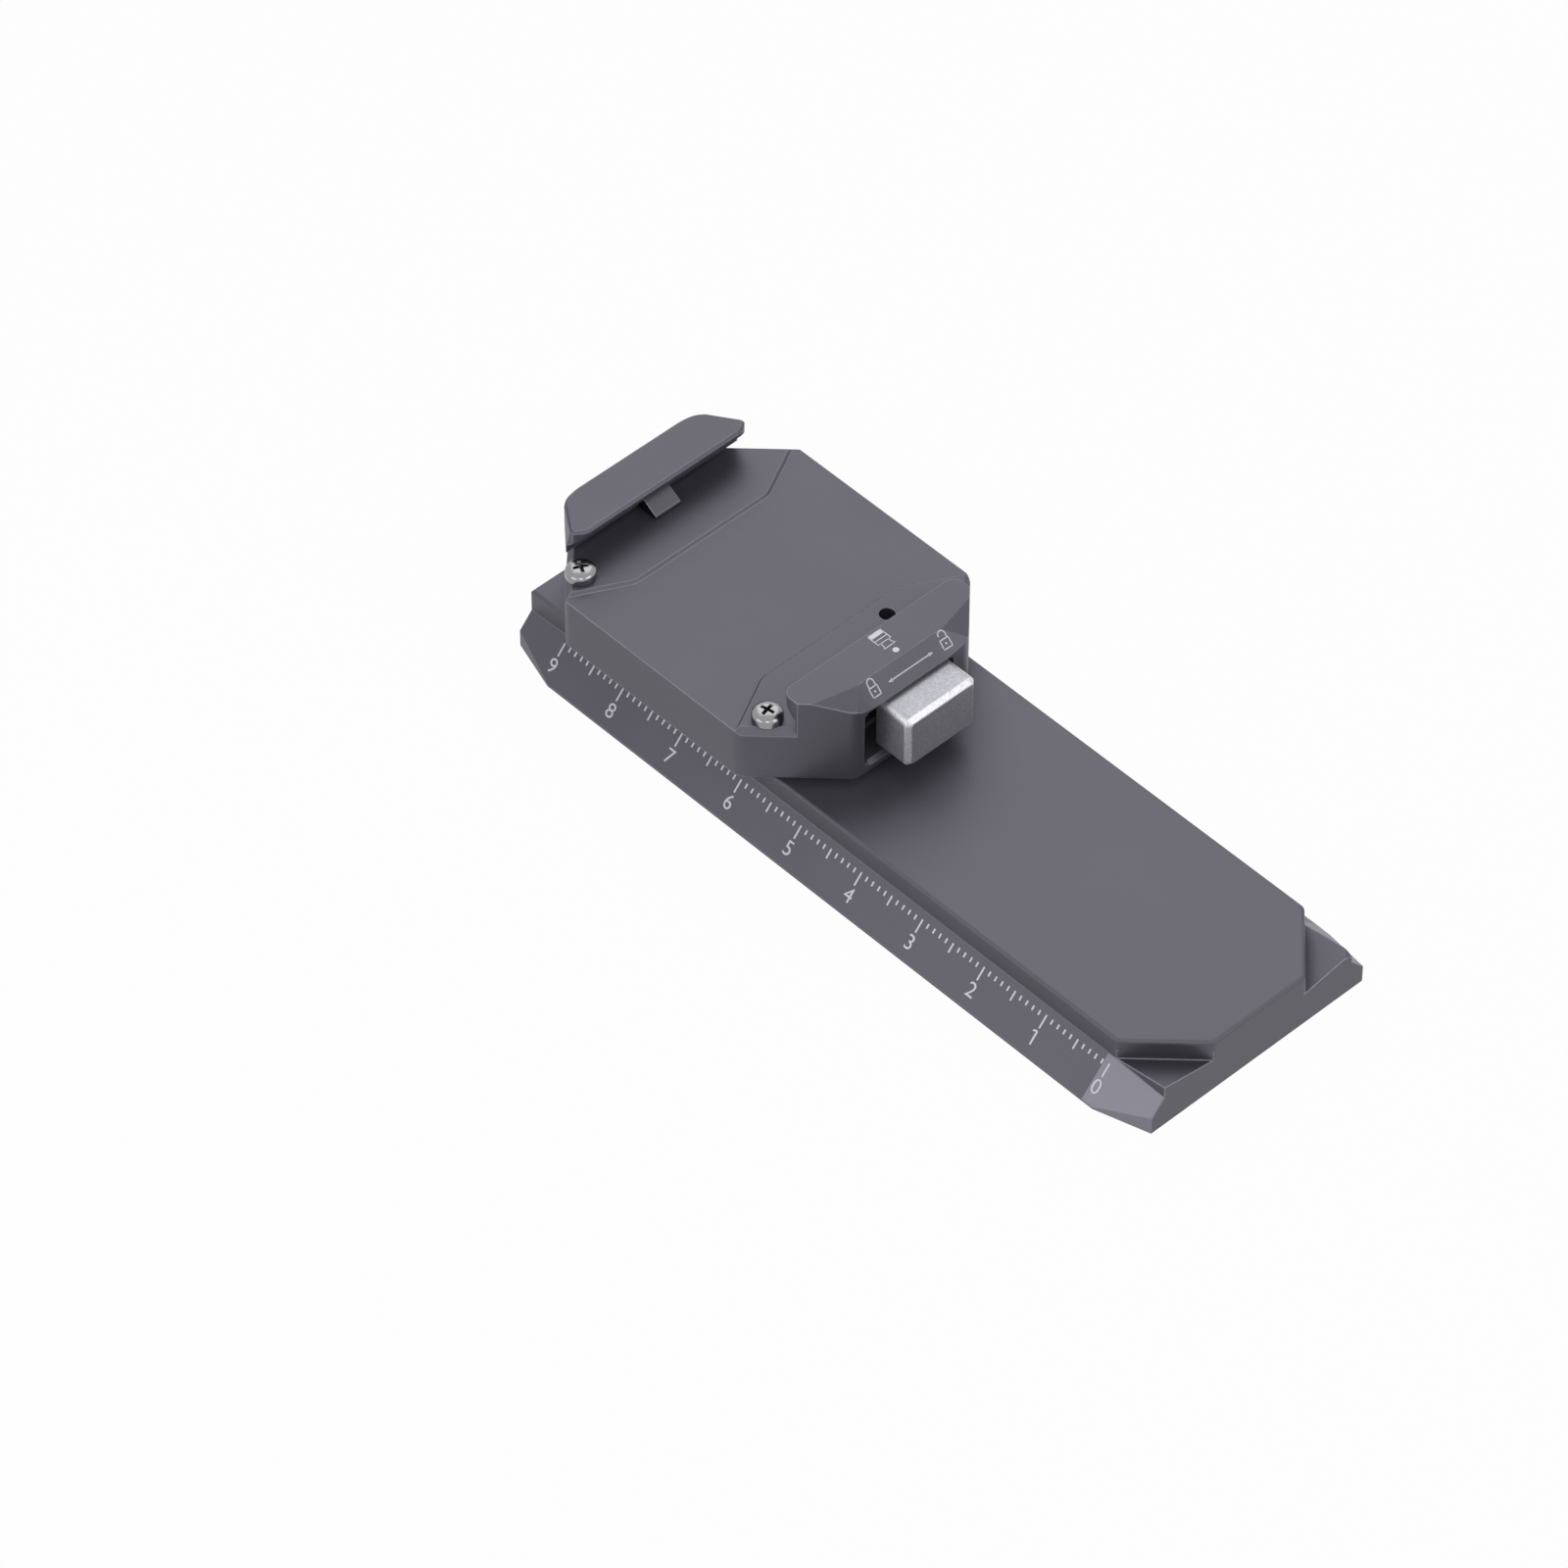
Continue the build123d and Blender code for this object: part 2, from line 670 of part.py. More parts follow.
# Moving jaw
with BuildPart() as moving_jaw:
    with BuildSketch(Plane.XZ):
        with BuildLine():
            Polyline(
                (clamp_x + jaw_outer, jaw_bottom),
                (clamp_x + jaw_outer, jaw_top),
                (clamp_x + moving_lip, jaw_top),
                (clamp_x + moving_lip, jaw_top - lip_thickness),
                (clamp_x + moving_root, strip_z + jaw_root_height),
                (clamp_x + moving_root, jaw_bottom),
                close=True,
            )
        make_face()
    extrude(amount=jaw_half_width, both=True)
    with BuildSketch(Plane.XY):
        with Locations((jaw_outer + half_body, 0)):
            add(octagon(0, jaw_turn_radius))
        with Locations((clamp_x + moving_lip - body_length / 2, 0)):
            RectangleRounded(body_length, 2 * jaw_half_width, jaw_tip_radius, mode=Mode.INTERSECT)
    extrude(amount=jaw_top, mode=Mode.INTERSECT)
    chamfer(moving_jaw.faces().sort_by(Axis.Z)[-1].edges(), jaw_edge_bevel)
    with BuildSketch(Plane.XY.offset(sledge_top)):
        with Locations((clamp_x + jaw_outer + foot_length / 2, 0)):
            Rectangle(foot_length, 2 * foot_half_width)
    extrude(amount=jaw_bottom + jaw_undercut - sledge_top)

    # Stepped bore for the pin, its collar and the plug behind them
    with BuildSketch(Plane.YZ.offset(clamp_x + jaw_outer)):
        with Locations((pin_y, pin_z)):
            Circle(pin_radius + fit)
    extrude(amount=half_body, mode=Mode.SUBTRACT)
    with BuildSketch(Plane.YZ.offset(clamp_x + jaw_outer)):
        with Locations((pin_y, pin_z)):
            Circle(pin_collar_radius + fit)
    extrude(amount=collar_front - jaw_outer, mode=Mode.SUBTRACT)
    with BuildSketch(Plane.YZ.offset(clamp_x + moving_root - pin_travel - fit)):
        with Locations((pin_y, (jaw_bottom + nose_top) / 2)):
            Rectangle(nose_width + 2 * nose_gap, nose_top - jaw_bottom + 2 * nose_gap)
    extrude(amount=half_body, mode=Mode.SUBTRACT)
    with Locations(Location((clamp_x + jaw_screw_x, 0, sledge_top), (180, 0, 0))):
        with GridLocations(0, 2 * jaw_screw_y, 1, 2):
            Hole(radius=jaw_screw_radius + fit, depth=jaw_screw_grip + hole_gap)
moving_jaw.part.label = "moving_jaw"
export_step(moving_jaw.part, "parts/moving_jaw.step")

# Threaded studs that hold the moving jaw on the sledge, with a hexagon socket underneath
with BuildPart() as jaw_screws:
    with BuildSketch(Plane.XY.offset(sledge_bottom)):
        with Locations((clamp_x + jaw_screw_x, -jaw_screw_y), (clamp_x + jaw_screw_x, jaw_screw_y)):
            Circle(jaw_screw_radius)
            RegularPolygon(jaw_screw_radius / 2, 6, mode=Mode.SUBTRACT)
    extrude(amount=socket_depth)
    with BuildSketch(Plane.XY.offset(sledge_bottom + socket_depth)):
        with Locations((clamp_x + jaw_screw_x, -jaw_screw_y), (clamp_x + jaw_screw_x, jaw_screw_y)):
            Circle(jaw_screw_radius)
    extrude(amount=sledge_height - socket_depth + jaw_screw_grip)
jaw_screws.part.label = "jaw_screws"
export_step(jaw_screws.part, "parts/jaw_screws.step")

# Sprung locating pin: a collar that keeps it in the jaw, a stem, and a wide nose with a ramp
with BuildPart() as locating_pin:
    with BuildSketch(Plane.XZ.offset(-pin_y)):
        with BuildLine():
            Polyline(
                (clamp_x + moving_root, nose_bottom),
                (clamp_x + nose_tip, nose_bottom),
                (clamp_x + nose_tip, nose_bottom + nose_edge),
                (clamp_x + moving_root, nose_top),
                close=True,
            )
        make_face()
    extrude(amount=nose_width / 2, both=True)
    chamfer(locating_pin.edges().group_by(Axis.X)[-1].filter_by(Axis.Y).sort_by(Axis.Z)[-1], nose_bevel)
    with BuildSketch(Plane.YZ.offset(clamp_x + collar_front)):
        with Locations((pin_y, pin_z)):
            Circle(pin_radius)
    extrude(amount=moving_root - collar_front)
    with BuildSketch(Plane.YZ.offset(clamp_x + collar_front)):
        with Locations((pin_y, pin_z)):
            Circle(pin_collar_radius)
    extrude(amount=-pin_collar_length)
locating_pin.part.label = "locating_pin"
export_step(locating_pin.part, "parts/locating_pin.step")

# Spring behind the pin
start = Vector(clamp_x + jaw_outer + plug_length, pin_y, pin_z)
length = collar_front - pin_collar_length - jaw_outer - plug_length
wire = coil(start, (1, 0, 0), length, pin_spring_radius, pin_spring_wire, pin_spring_turns)
with BuildPart() as pin_spring:
    add(wire)
pin_spring.part.label = "pin_spring"
export_step(pin_spring.part, "parts/pin_spring.step")

# Threaded plug that closes the pin's bore
with BuildPart() as pin_grub_screw:
    with BuildSketch(Plane.YZ.offset(clamp_x + jaw_outer)):
        with Locations((pin_y, pin_z)):
            Circle(pin_collar_radius)
            Rectangle(2 * pin_guide, plug_slot, mode=Mode.SUBTRACT)
    extrude(amount=plug_length / 2)
    with BuildSketch(Plane.YZ.offset(clamp_x + jaw_outer + plug_length / 2)):
        with Locations((pin_y, pin_z)):
            Circle(pin_collar_radius)
    extrude(amount=plug_length / 2)
pin_grub_screw.part.label = "pin_grub_screw"
export_step(pin_grub_screw.part, "parts/pin_grub_screw.step")

# Slider: a T-shaped head in the sledge and a tongue that reaches into the button
with BuildPart() as button_slider:
    with BuildSketch(Plane.XY.offset(tee_bottom)):
        with Locations((clamp_x + tee_middle, button_middle_y)):
            Rectangle(tee_length, tee_width)
        with Locations((clamp_x + (tee_end + tongue_end) / 2, button_middle_y)):
            Rectangle(tongue_end - tee_end, tongue_width)
    extrude(amount=tee_height)

    # Track for the detent's nose
    with BuildSketch(Plane.XY.offset(tee_bottom)):
        with Locations((clamp_x + tee_middle, button_middle_y)):
            Rectangle(groove_width, lock_travel + groove_width)
    extrude(amount=groove_depth, mode=Mode.SUBTRACT)
    with Locations((clamp_x + button_screw_x, button_middle_y, tee_top)):
        Hole(radius=button_screw_radius + fit, depth=tee_height)
button_slider.part.label = "button_slider"
export_step(button_slider.part, "parts/button_slider.step")

# Release button
with BuildPart() as release_button:
    with BuildSketch(Plane.YZ.offset(clamp_x + half_body - button_back)):
        with Locations((button_middle_y, (button_bottom + button_top) / 2)):
            RectangleRounded(button_width, button_height, button_edge_radius)
    extrude(amount=button_back + button_reach)
    chamfer(release_button.faces().sort_by(Axis.X)[-1].edges(), button_front_bevel)
    with BuildSketch(Plane.YZ.offset(clamp_x + half_body - button_back)):
        with Locations((button_middle_y, (tee_bottom + tee_top) / 2)):
            Rectangle(tongue_width + 2 * fit, tee_height + 2 * fit)
    extrude(amount=tongue_grip + fit, mode=Mode.SUBTRACT)
    with Locations(Location((clamp_x + button_screw_x, button_middle_y, button_bottom), (180, 0, 0))):
        Hole(radius=button_screw_radius + fit, depth=button_screw_length + hole_gap)
release_button.part.label = "release_button"
export_step(release_button.part, "parts/release_button.step")

# Set screw that locks the tongue in the button, from below
with BuildPart() as button_screw:
    with BuildSketch(Plane.XY.offset(button_bottom)):
        with Locations((clamp_x + button_screw_x, button_middle_y)):
            Circle(button_screw_radius)
            RegularPolygon(button_screw_radius / 2, 6, mode=Mode.SUBTRACT)
    extrude(amount=socket_depth)
    with BuildSketch(Plane.XY.offset(button_bottom + socket_depth)):
        with Locations((clamp_x + button_screw_x, button_middle_y)):
            Circle(button_screw_radius)
    extrude(amount=button_screw_length - socket_depth)
button_screw.part.label = "button_screw"
export_step(button_screw.part, "parts/button_screw.step")

# Detent of the lock: a plunger on a small spring
with BuildPart() as detent_plunger:
    with BuildSketch(Plane.XY.offset(plunger_top - plunger_height)):
        with Locations((clamp_x + tee_middle, slot_middle_y)):
            Circle(plunger_radius)
    extrude(amount=plunger_height)
detent_plunger.part.label = "detent_plunger"
export_step(detent_plunger.part, "parts/detent_plunger.step")
start = Vector(clamp_x + tee_middle, slot_middle_y, detent_floor)
length = plunger_top - plunger_height - detent_floor
wire = coil(start, (0, 0, 1), length, detent_spring_radius, detent_spring_wire, detent_spring_turns)
with BuildPart() as detent_spring:
    add(wire)
detent_spring.part.label = "detent_spring"
export_step(detent_spring.part, "parts/detent_spring.step")
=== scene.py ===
# %% [markdown]
# # A long dovetail plate with a quick-release clamp
# The measured metal pieces come from the imported model, in metres, and stay where they are. This
# lesson dresses them: it gives each metal its finish, adds the scale, the signs, the screw heads
# and the threads, puts copies of the springs in place, and sets the camera and the light.

import json
import math

import bmesh
import bpy
from mathutils import Matrix, Vector
from mathutils.bvhtree import BVHTree


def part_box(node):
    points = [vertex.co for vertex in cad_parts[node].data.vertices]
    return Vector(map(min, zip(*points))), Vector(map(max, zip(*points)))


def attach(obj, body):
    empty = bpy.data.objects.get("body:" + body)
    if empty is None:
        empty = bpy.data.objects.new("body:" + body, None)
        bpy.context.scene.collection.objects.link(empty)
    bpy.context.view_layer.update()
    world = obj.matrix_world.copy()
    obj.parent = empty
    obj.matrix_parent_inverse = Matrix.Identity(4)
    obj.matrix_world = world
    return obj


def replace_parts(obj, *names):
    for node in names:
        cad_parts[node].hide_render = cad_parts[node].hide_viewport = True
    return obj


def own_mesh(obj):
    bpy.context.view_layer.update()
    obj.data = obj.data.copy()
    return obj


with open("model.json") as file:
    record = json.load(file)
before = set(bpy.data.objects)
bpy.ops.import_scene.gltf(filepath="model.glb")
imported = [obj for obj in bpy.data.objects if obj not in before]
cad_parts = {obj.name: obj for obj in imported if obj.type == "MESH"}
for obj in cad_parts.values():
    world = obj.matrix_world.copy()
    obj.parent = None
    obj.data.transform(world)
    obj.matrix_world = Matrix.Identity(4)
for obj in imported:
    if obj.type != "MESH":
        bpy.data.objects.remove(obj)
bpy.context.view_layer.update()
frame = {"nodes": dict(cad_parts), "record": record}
MM = 0.001

# %% [markdown]
# ## The camera
# The plate lies diagonally in the picture, seen from well above its zero end. A long lens far
# away keeps its edges nearly parallel, as a product photographer does. The place and the angles
# come from fitting the plate's corners to the picture.

# %% Set the camera
CAMERA_PLACE = (0.510886, -0.504762, 0.759723)
CAMERA_ELEVATION = 46.444
CAMERA_AZIMUTH = 46.719
FOCAL_PIXELS = 9280.9
PICTURE_PIXELS = 1600
scene = bpy.context.scene
camera = bpy.data.objects.new("camera", bpy.data.cameras.new("camera"))
scene.collection.objects.link(camera)
scene.camera = camera
camera.location = CAMERA_PLACE
camera.rotation_euler = (math.radians(90 - CAMERA_ELEVATION), 0, math.radians(CAMERA_AZIMUTH))
camera.data.sensor_width = 36
camera.data.lens = FOCAL_PIXELS / PICTURE_PIXELS * camera.data.sensor_width
camera.data.clip_start = 0.01
camera.data.clip_end = 10
print("lens:", round(camera.data.lens, 1), "mm")

# %% [markdown]
# ## Metal finishes
# Blasted and anodised aluminium is never one flat colour. Its grain scatters the light and its tone
# drifts a little. One recipe makes all the metals here: a fine bump for the grain, a slow noise for
# tone and roughness, and a Bevel node, which rounds the edges for the light only and also tells
# where they are. There the colour is painted lighter: a painted highlight, together with the wear
# of the edges.


# %% Helpers for colours and node values
def linear(red, green, blue):
    """Colour of a picture (0 to 255) as the linear values that shaders use."""
    values = [value / 255 for value in (red, green, blue)]
    return [v / 12.92 if v <= 0.04045 else ((v + 0.055) / 1.055) ** 2.4 for v in values]


def calculated(tree, operation, first, second=0.0):
    """One Math node over two values, each a number or a socket, and its result."""
    node = tree.nodes.new("ShaderNodeMath")
    node.operation = operation
    for socket, value in zip(node.inputs, (first, second)):
        if isinstance(value, (int, float)):
            socket.default_value = value
        else:
            tree.links.new(value, socket)
    return node.outputs[0]


# %% Recipe for a metal
# The edges' colour is painted this many times lighter: painted highlight together with wear.
EDGE_GAIN = 3
DRIFT_SCALE = 70


def metal(name, colour, metallic, roughness, grain, depth, drift, edge, rounding):
    """Metal with a grain and an edge rounding in millimetres, and a drift in tone and roughness."""
    material = bpy.data.materials.new(name)
    material.use_nodes = True
    nodes, links = material.node_tree.nodes, material.node_tree.links
    shader = nodes["Principled BSDF"]
    shader.inputs["Metallic"].default_value = metallic
    shader.inputs["Specular IOR Level"].default_value = 0.3
    place = nodes.new("ShaderNodeTexCoord")

    slow = nodes.new("ShaderNodeTexNoise")
    slow.inputs["Scale"].default_value = DRIFT_SCALE
    slow.inputs["Detail"].default_value = 3
    links.new(place.outputs["Object"], slow.inputs["Vector"])
    tone = nodes.new("ShaderNodeValToRGB")
    tone.color_ramp.elements[0].position = 0.3
    tone.color_ramp.elements[1].position = 0.7
    tone.color_ramp.elements[0].color = [c * (1 - drift) for c in colour] + [1]
    tone.color_ramp.elements[1].color = [c * (1 + drift) for c in colour] + [1]
    links.new(slow.outputs["Fac"], tone.inputs["Fac"])

    rough = nodes.new("ShaderNodeMapRange")
    rough.inputs["To Min"].default_value = roughness - drift / 2
    rough.inputs["To Max"].default_value = roughness + drift / 2
    links.new(slow.outputs["Fac"], rough.inputs["Value"])
    links.new(rough.outputs["Result"], shader.inputs["Roughness"])

    bevel = nodes.new("ShaderNodeBevel")
    bevel.samples = 6
    bevel.inputs["Radius"].default_value = rounding * MM
    surface = nodes.new("ShaderNodeNewGeometry")
    turn = nodes.new("ShaderNodeVectorMath")
    turn.operation = "DOT_PRODUCT"
    links.new(bevel.outputs["Normal"], turn.inputs[0])
    links.new(surface.outputs["Normal"], turn.inputs[1])
    # Painted highlight and wear: near an edge the base colour is mixed towards a lighter one.
    painted_light_and_wear = nodes.new("ShaderNodeMapRange")
    painted_light_and_wear.inputs["From Min"].default_value = 0.99
    painted_light_and_wear.inputs["From Max"].default_value = 0.85
    painted_light_and_wear.inputs["To Max"].default_value = edge
    links.new(turn.outputs["Value"], painted_light_and_wear.inputs["Value"])
    bright = nodes.new("ShaderNodeMix")
    bright.data_type = "RGBA"
    bright.inputs["B"].default_value = [min(1, c * EDGE_GAIN) for c in colour] + [1]
    links.new(painted_light_and_wear.outputs["Result"], bright.inputs["Factor"])
    links.new(tone.outputs["Color"], bright.inputs["A"])
    links.new(bright.outputs["Result"], shader.inputs["Base Color"])

    fine = nodes.new("ShaderNodeTexNoise")
    fine.inputs["Scale"].default_value = 1 / (grain * MM)
    fine.inputs["Detail"].default_value = 2
    links.new(place.outputs["Object"], fine.inputs["Vector"])
    bump = nodes.new("ShaderNodeBump")
    bump.inputs["Distance"].default_value = depth * MM
    bump.inputs["Strength"].default_value = 1
    links.new(fine.outputs["Fac"], bump.inputs["Height"])
    links.new(bevel.outputs["Normal"], bump.inputs["Normal"])
    links.new(bump.outputs["Normal"], shader.inputs["Normal"])
    return material


# %% The metals of this plate
# Each line: name, colour, metallic, roughness, grain, its depth, drift, edge (painted edge
# highlight and wear) and rounding.
anodised = metal("anodised_grey", linear(103, 101, 111), 0.5, 0.45, 0.2, 0.018, 0.05, 1.0, 0.28)
silver = metal("blasted_silver", linear(186, 186, 194), 0.6, 0.42, 0.24, 0.035, 0.06, 0.8, 0.35)
plain = metal("milled_aluminium", linear(178, 178, 182), 0.9, 0.35, 0.3, 0.004, 0.05, 0.2, 0.1)
polished = metal("polished_steel", linear(146, 146, 148), 1.0, 0.2, 0.5, 0.001, 0.03, 0.1, 0.08)
# Painted shade: darker steel for the locating pin, standing in for the jaw's shade and dark
# reflection over it.
painted_light_and_wear = metal("worn_steel", linear(92, 92, 97), 1.0, 0.28, 0.5, 0.002, 0.05, 1.0, 0.15)
dark_steel = metal("oxide_steel", linear(58, 57, 60), 0.9, 0.4, 0.2, 0.004, 0.05, 0.3, 0.08)
spring_wire = metal("spring_wire", linear(150, 149, 146), 1.0, 0.28, 0.3, 0.002, 0.04, 0.1, 0.03)
FINISHES = {
    "grey_anodised": anodised,
    "silver_aluminium": silver,
    "plain_aluminium": plain,
    "steel": polished,
    "dark_steel": dark_steel,
    "spring_steel": spring_wire,
}
print("finishes:", ", ".join(FINISHES))

# %% [markdown]
# ## Finishes on the measured pieces
# The record says which finish each node takes, so the list is read from there and every slot of
# every node gets its metal. Only the locating pin is darker than the other steel: painted shade,
# which stands in for the shade and the dark reflection of the jaw above it.

# %% Paint the measured pieces
painted = 0
for part in frame["record"]["subparts"]:
    node = frame["nodes"][part["node"]]
    node.data.materials.clear()
    node.data.materials.append(FINISHES[part["material_slot"]])
    painted += 1
# The pin takes the steel with painted shade.
frame["nodes"]["locating_pin"].data.materials[0] = painted_light_and_wear
print("painted:", painted)

# %% [markdown]
# ## Metals with painted light in places
# Two pieces need that. Each takes a copy of its metal, in which a mask lays a lighter colour over
# the metal's own: a painted highlight where they catch the lamps.


# %% Helper for a masked metal
def masked_copy(original, name, colour):
    """A copy of a metal with a second colour, its node tree, and the mix that a mask drives."""
    material = original.copy()
    material.name = name
    tree = material.node_tree
    own = tree.nodes["Mix"].outputs["Result"]
    lighter = tree.nodes.new("ShaderNodeMix")
    lighter.data_type = "RGBA"
    lighter.inputs["B"].default_value = colour + [1]
    tree.links.new(own, lighter.inputs["A"])
    tree.links.new(lighter.outputs["Result"], tree.nodes["Principled BSDF"].inputs["Base Color"])
    return material, tree, lighter


# %% [markdown]
# ### Painted highlights on the button's edges
# The button's rounded edges get a painted highlight: a lighter colour stands in for the light that
# they catch. Where the surface faces along no axis it is on such an edge, so the largest part of
# its normal tells how much lighter the colour becomes. The grain's own noise also speckles the
# colour a little.

# %% Paint highlights on the button's edges
FLAT_NORMAL = 0.99
ROUND_NORMAL = 0.8
# Painted highlight: the button's rounded edges take a lighter silver colour.
button_painted_highlight_metal, tree, lighter = masked_copy(silver, "blasted_silver_button", linear(246, 246, 250))
nodes, links = tree.nodes, tree.links
facing = nodes.new("ShaderNodeVectorMath")
facing.operation = "ABSOLUTE"
links.new(nodes["Texture Coordinate"].outputs["Normal"], facing.inputs[0])
parts = nodes.new("ShaderNodeSeparateXYZ")
links.new(facing.outputs[0], parts.inputs[0])
largest = calculated(tree, "MAXIMUM", parts.outputs["X"], parts.outputs["Y"])
largest = calculated(tree, "MAXIMUM", largest, parts.outputs["Z"])
rounded = nodes.new("ShaderNodeMapRange")
rounded.inputs["From Min"].default_value = FLAT_NORMAL
rounded.inputs["From Max"].default_value = ROUND_NORMAL
links.new(largest, rounded.inputs["Value"])
links.new(rounded.outputs["Result"], lighter.inputs["Factor"])
speckle = nodes.new("ShaderNodeMapRange")
speckle.inputs["From Min"].default_value = 0.3
speckle.inputs["From Max"].default_value = 0.7
speckle.inputs["To Min"].default_value = 0.82
speckle.inputs["To Max"].default_value = 1.14
links.new(nodes["Noise Texture.001"].outputs["Fac"], speckle.inputs["Value"])
grained = nodes.new("ShaderNodeVectorMath")
grained.operation = "SCALE"
links.new(lighter.outputs["Result"], grained.inputs[0])
links.new(speckle.outputs["Result"], grained.inputs["Scale"])
links.new(grained.outputs[0], nodes["Principled BSDF"].inputs["Base Color"])
frame["nodes"]["release_button"].data.materials[0] = button_painted_highlight_metal
print("button's metal:", button_painted_highlight_metal.name)

# %% [markdown]
# ### Painted light on the plate's facets
# The two facets that lead a tripod head onto the zero end get a painted highlight: a lighter colour
# that stands in for the light they catch. Their mask comes from the place on the plate.

# %% Paint light on the two facets
FACET_START_X = 43.45
FACET_END_X = 52.2
FACET_TOP_Y = 14.9
# Painted highlight: a lighter anodised colour on the two facets.
plate_painted_light_metal, tree, lighter = masked_copy(anodised, "anodised_grey_plate", linear(142, 140, 152))
place = tree.nodes.new("ShaderNodeSeparateXYZ")
tree.links.new(tree.nodes["Texture Coordinate"].outputs["Object"], place.inputs[0])
along, aside = place.outputs["X"], calculated(tree, "ABSOLUTE", place.outputs["Y"])
mask = calculated(tree, "GREATER_THAN", along, FACET_START_X * MM)
before_end = calculated(tree, "LESS_THAN", along, FACET_END_X * MM)
mask = calculated(tree, "MULTIPLY", mask, before_end)
below_top = calculated(tree, "GREATER_THAN", aside, FACET_TOP_Y * MM)
mask = calculated(tree, "MULTIPLY", mask, below_top)
tree.links.new(mask, lighter.inputs["Factor"])
frame["nodes"]["base_plate"].data.materials[0] = plate_painted_light_metal
print("lighter facets from", FACET_START_X, "mm to", FACET_END_X, "mm")

# %% [markdown]
# ## Light marks
# A laser burns the anodising away and leaves pale marks with no real height. Here each mark is a
# thin slip of geometry, a hundredth of a millimetre proud of the metal, so that it stays sharp at
# any distance. Marks are drawn flat in millimetres and then laid on their surface.


# %% Finish and helpers for the marks
marked = metal("laser_mark", linear(226, 224, 234), 0.4, 0.5, 0.1, 0.003, 0.04, 0.0, 0.02)
MARK_DEPTH = 0.024


def keep(mesh, name, body, material=None):
    """A finished mesh as a piece that rides on a body."""
    mesh.name = name
    piece = bpy.data.objects.new(name, mesh)
    scene.collection.objects.link(piece)
    if material:
        mesh.materials.clear()
        mesh.materials.append(material)
    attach(piece, body)
    print(name, "triangles:", sum(len(face.vertices) - 2 for face in mesh.polygons))
    return piece


def lay(mesh, origin, across, up):
    """Lays a mesh drawn in millimetres on the plane through a point, by its two directions."""
    across, up = Vector(across).normalized(), Vector(up).normalized()
    out = across.cross(up)
    turn = Matrix((across, up, out)).transposed().to_4x4()
    mesh.transform(Matrix.Translation(Vector(origin) * MM) @ turn @ Matrix.Scale(MM, 4))
    mesh.update()
    return mesh


def joined(meshes, name):
    """Several meshes as one."""
    whole = bmesh.new()
    for mesh in meshes:
        whole.from_mesh(mesh)
    result = bpy.data.meshes.new(name)
    whole.to_mesh(result)
    whole.free()
    return result


def patch(outline):
    """A filled shape with the marks' thickness."""
    whole = bmesh.new()
    face = whole.faces.new([whole.verts.new((x, y, -MARK_DEPTH / 2)) for x, y in outline])
    grown = bmesh.ops.extrude_face_region(whole, geom=[face])["geom"]
    raised = [item for item in grown if isinstance(item, bmesh.types.BMVert)]
    bmesh.ops.translate(whole, verts=raised, vec=(0, 0, MARK_DEPTH))
    bmesh.ops.recalc_face_normals(whole, faces=whole.faces)
    mesh = bpy.data.meshes.new("patch")
    whole.to_mesh(mesh)
    whole.free()
    return mesh


# %% [markdown]
# ### Node trees
# Whatever repeats is made by Geometry Nodes. A tree here is a recipe with named sizes. It runs
# once on a seed mesh, and its result is kept as a plain mesh, so nothing live is left behind.


# %% Helpers for node trees
def new_tree(name, inputs):
    """An empty node tree with named number inputs, and its two ends."""
    tree = bpy.data.node_groups.new(name, "GeometryNodeTree")
    tree.interface.new_socket("Geometry", in_out="INPUT", socket_type="NodeSocketGeometry")
    tree.interface.new_socket("Geometry", in_out="OUTPUT", socket_type="NodeSocketGeometry")
    for title, value in inputs.items():
        kind = "NodeSocketInt" if isinstance(value, int) else "NodeSocketFloat"
        tree.interface.new_socket(title, in_out="INPUT", socket_type=kind).default_value = value
    return tree, tree.nodes.new("NodeGroupInput"), tree.nodes.new("NodeGroupOutput")


def finish_tree(tree, geometry, end, material):
    """Ends a tree: real copies, then the finish."""
    real = tree.nodes.new("GeometryNodeRealizeInstances")
    coat = tree.nodes.new("GeometryNodeSetMaterial")
    coat.inputs["Material"].default_value = material
    tree.links.new(geometry, real.inputs["Geometry"])
    tree.links.new(real.outputs["Geometry"], coat.inputs["Geometry"])
    tree.links.new(coat.outputs["Geometry"], end.inputs["Geometry"])


def grow(tree, seed, values):
    """Runs a tree on a seed mesh with these sizes, and returns the result as a plain mesh."""
    holder = bpy.data.objects.new(tree.name, seed)
    scene.collection.objects.link(holder)
    modifier = holder.modifiers.new("grow", "NODES")
    modifier.node_group = tree
    for socket in tree.interface.items_tree:
        if socket.item_type == "SOCKET" and socket.in_out == "INPUT" and socket.name in values:
            modifier[socket.identifier] = values[socket.name]
    graph = bpy.context.evaluated_depsgraph_get()
    mesh = bpy.data.meshes.new_from_object(holder.evaluated_get(graph))
    holder.modifiers.remove(modifier)
    bpy.data.objects.remove(holder)
    return mesh


# %% [markdown]
# ### The millimetre scale
# Ninety-one strokes run along the slope on the front side: a long one at each centimetre, a
# middle one at each half, and short ones between. They hang from one straight line. The tree sets
# a stroke at each point of a line and picks its length from the point's number.

# %% Tree for the strokes
SCALE_END_X = 44.25
SCALE_COUNT = 91
SLOPE_TOP = Vector((0, -14.87, 5.2))
SLOPE_FOOT = Vector((0, -19.0, 0.6))
SCALE_LINE_Y = -15.5
slope_up = (SLOPE_TOP - SLOPE_FOOT).normalized()
scale_line = SLOPE_TOP + slope_up * ((SCALE_LINE_Y - SLOPE_TOP.y) / slope_up.y)

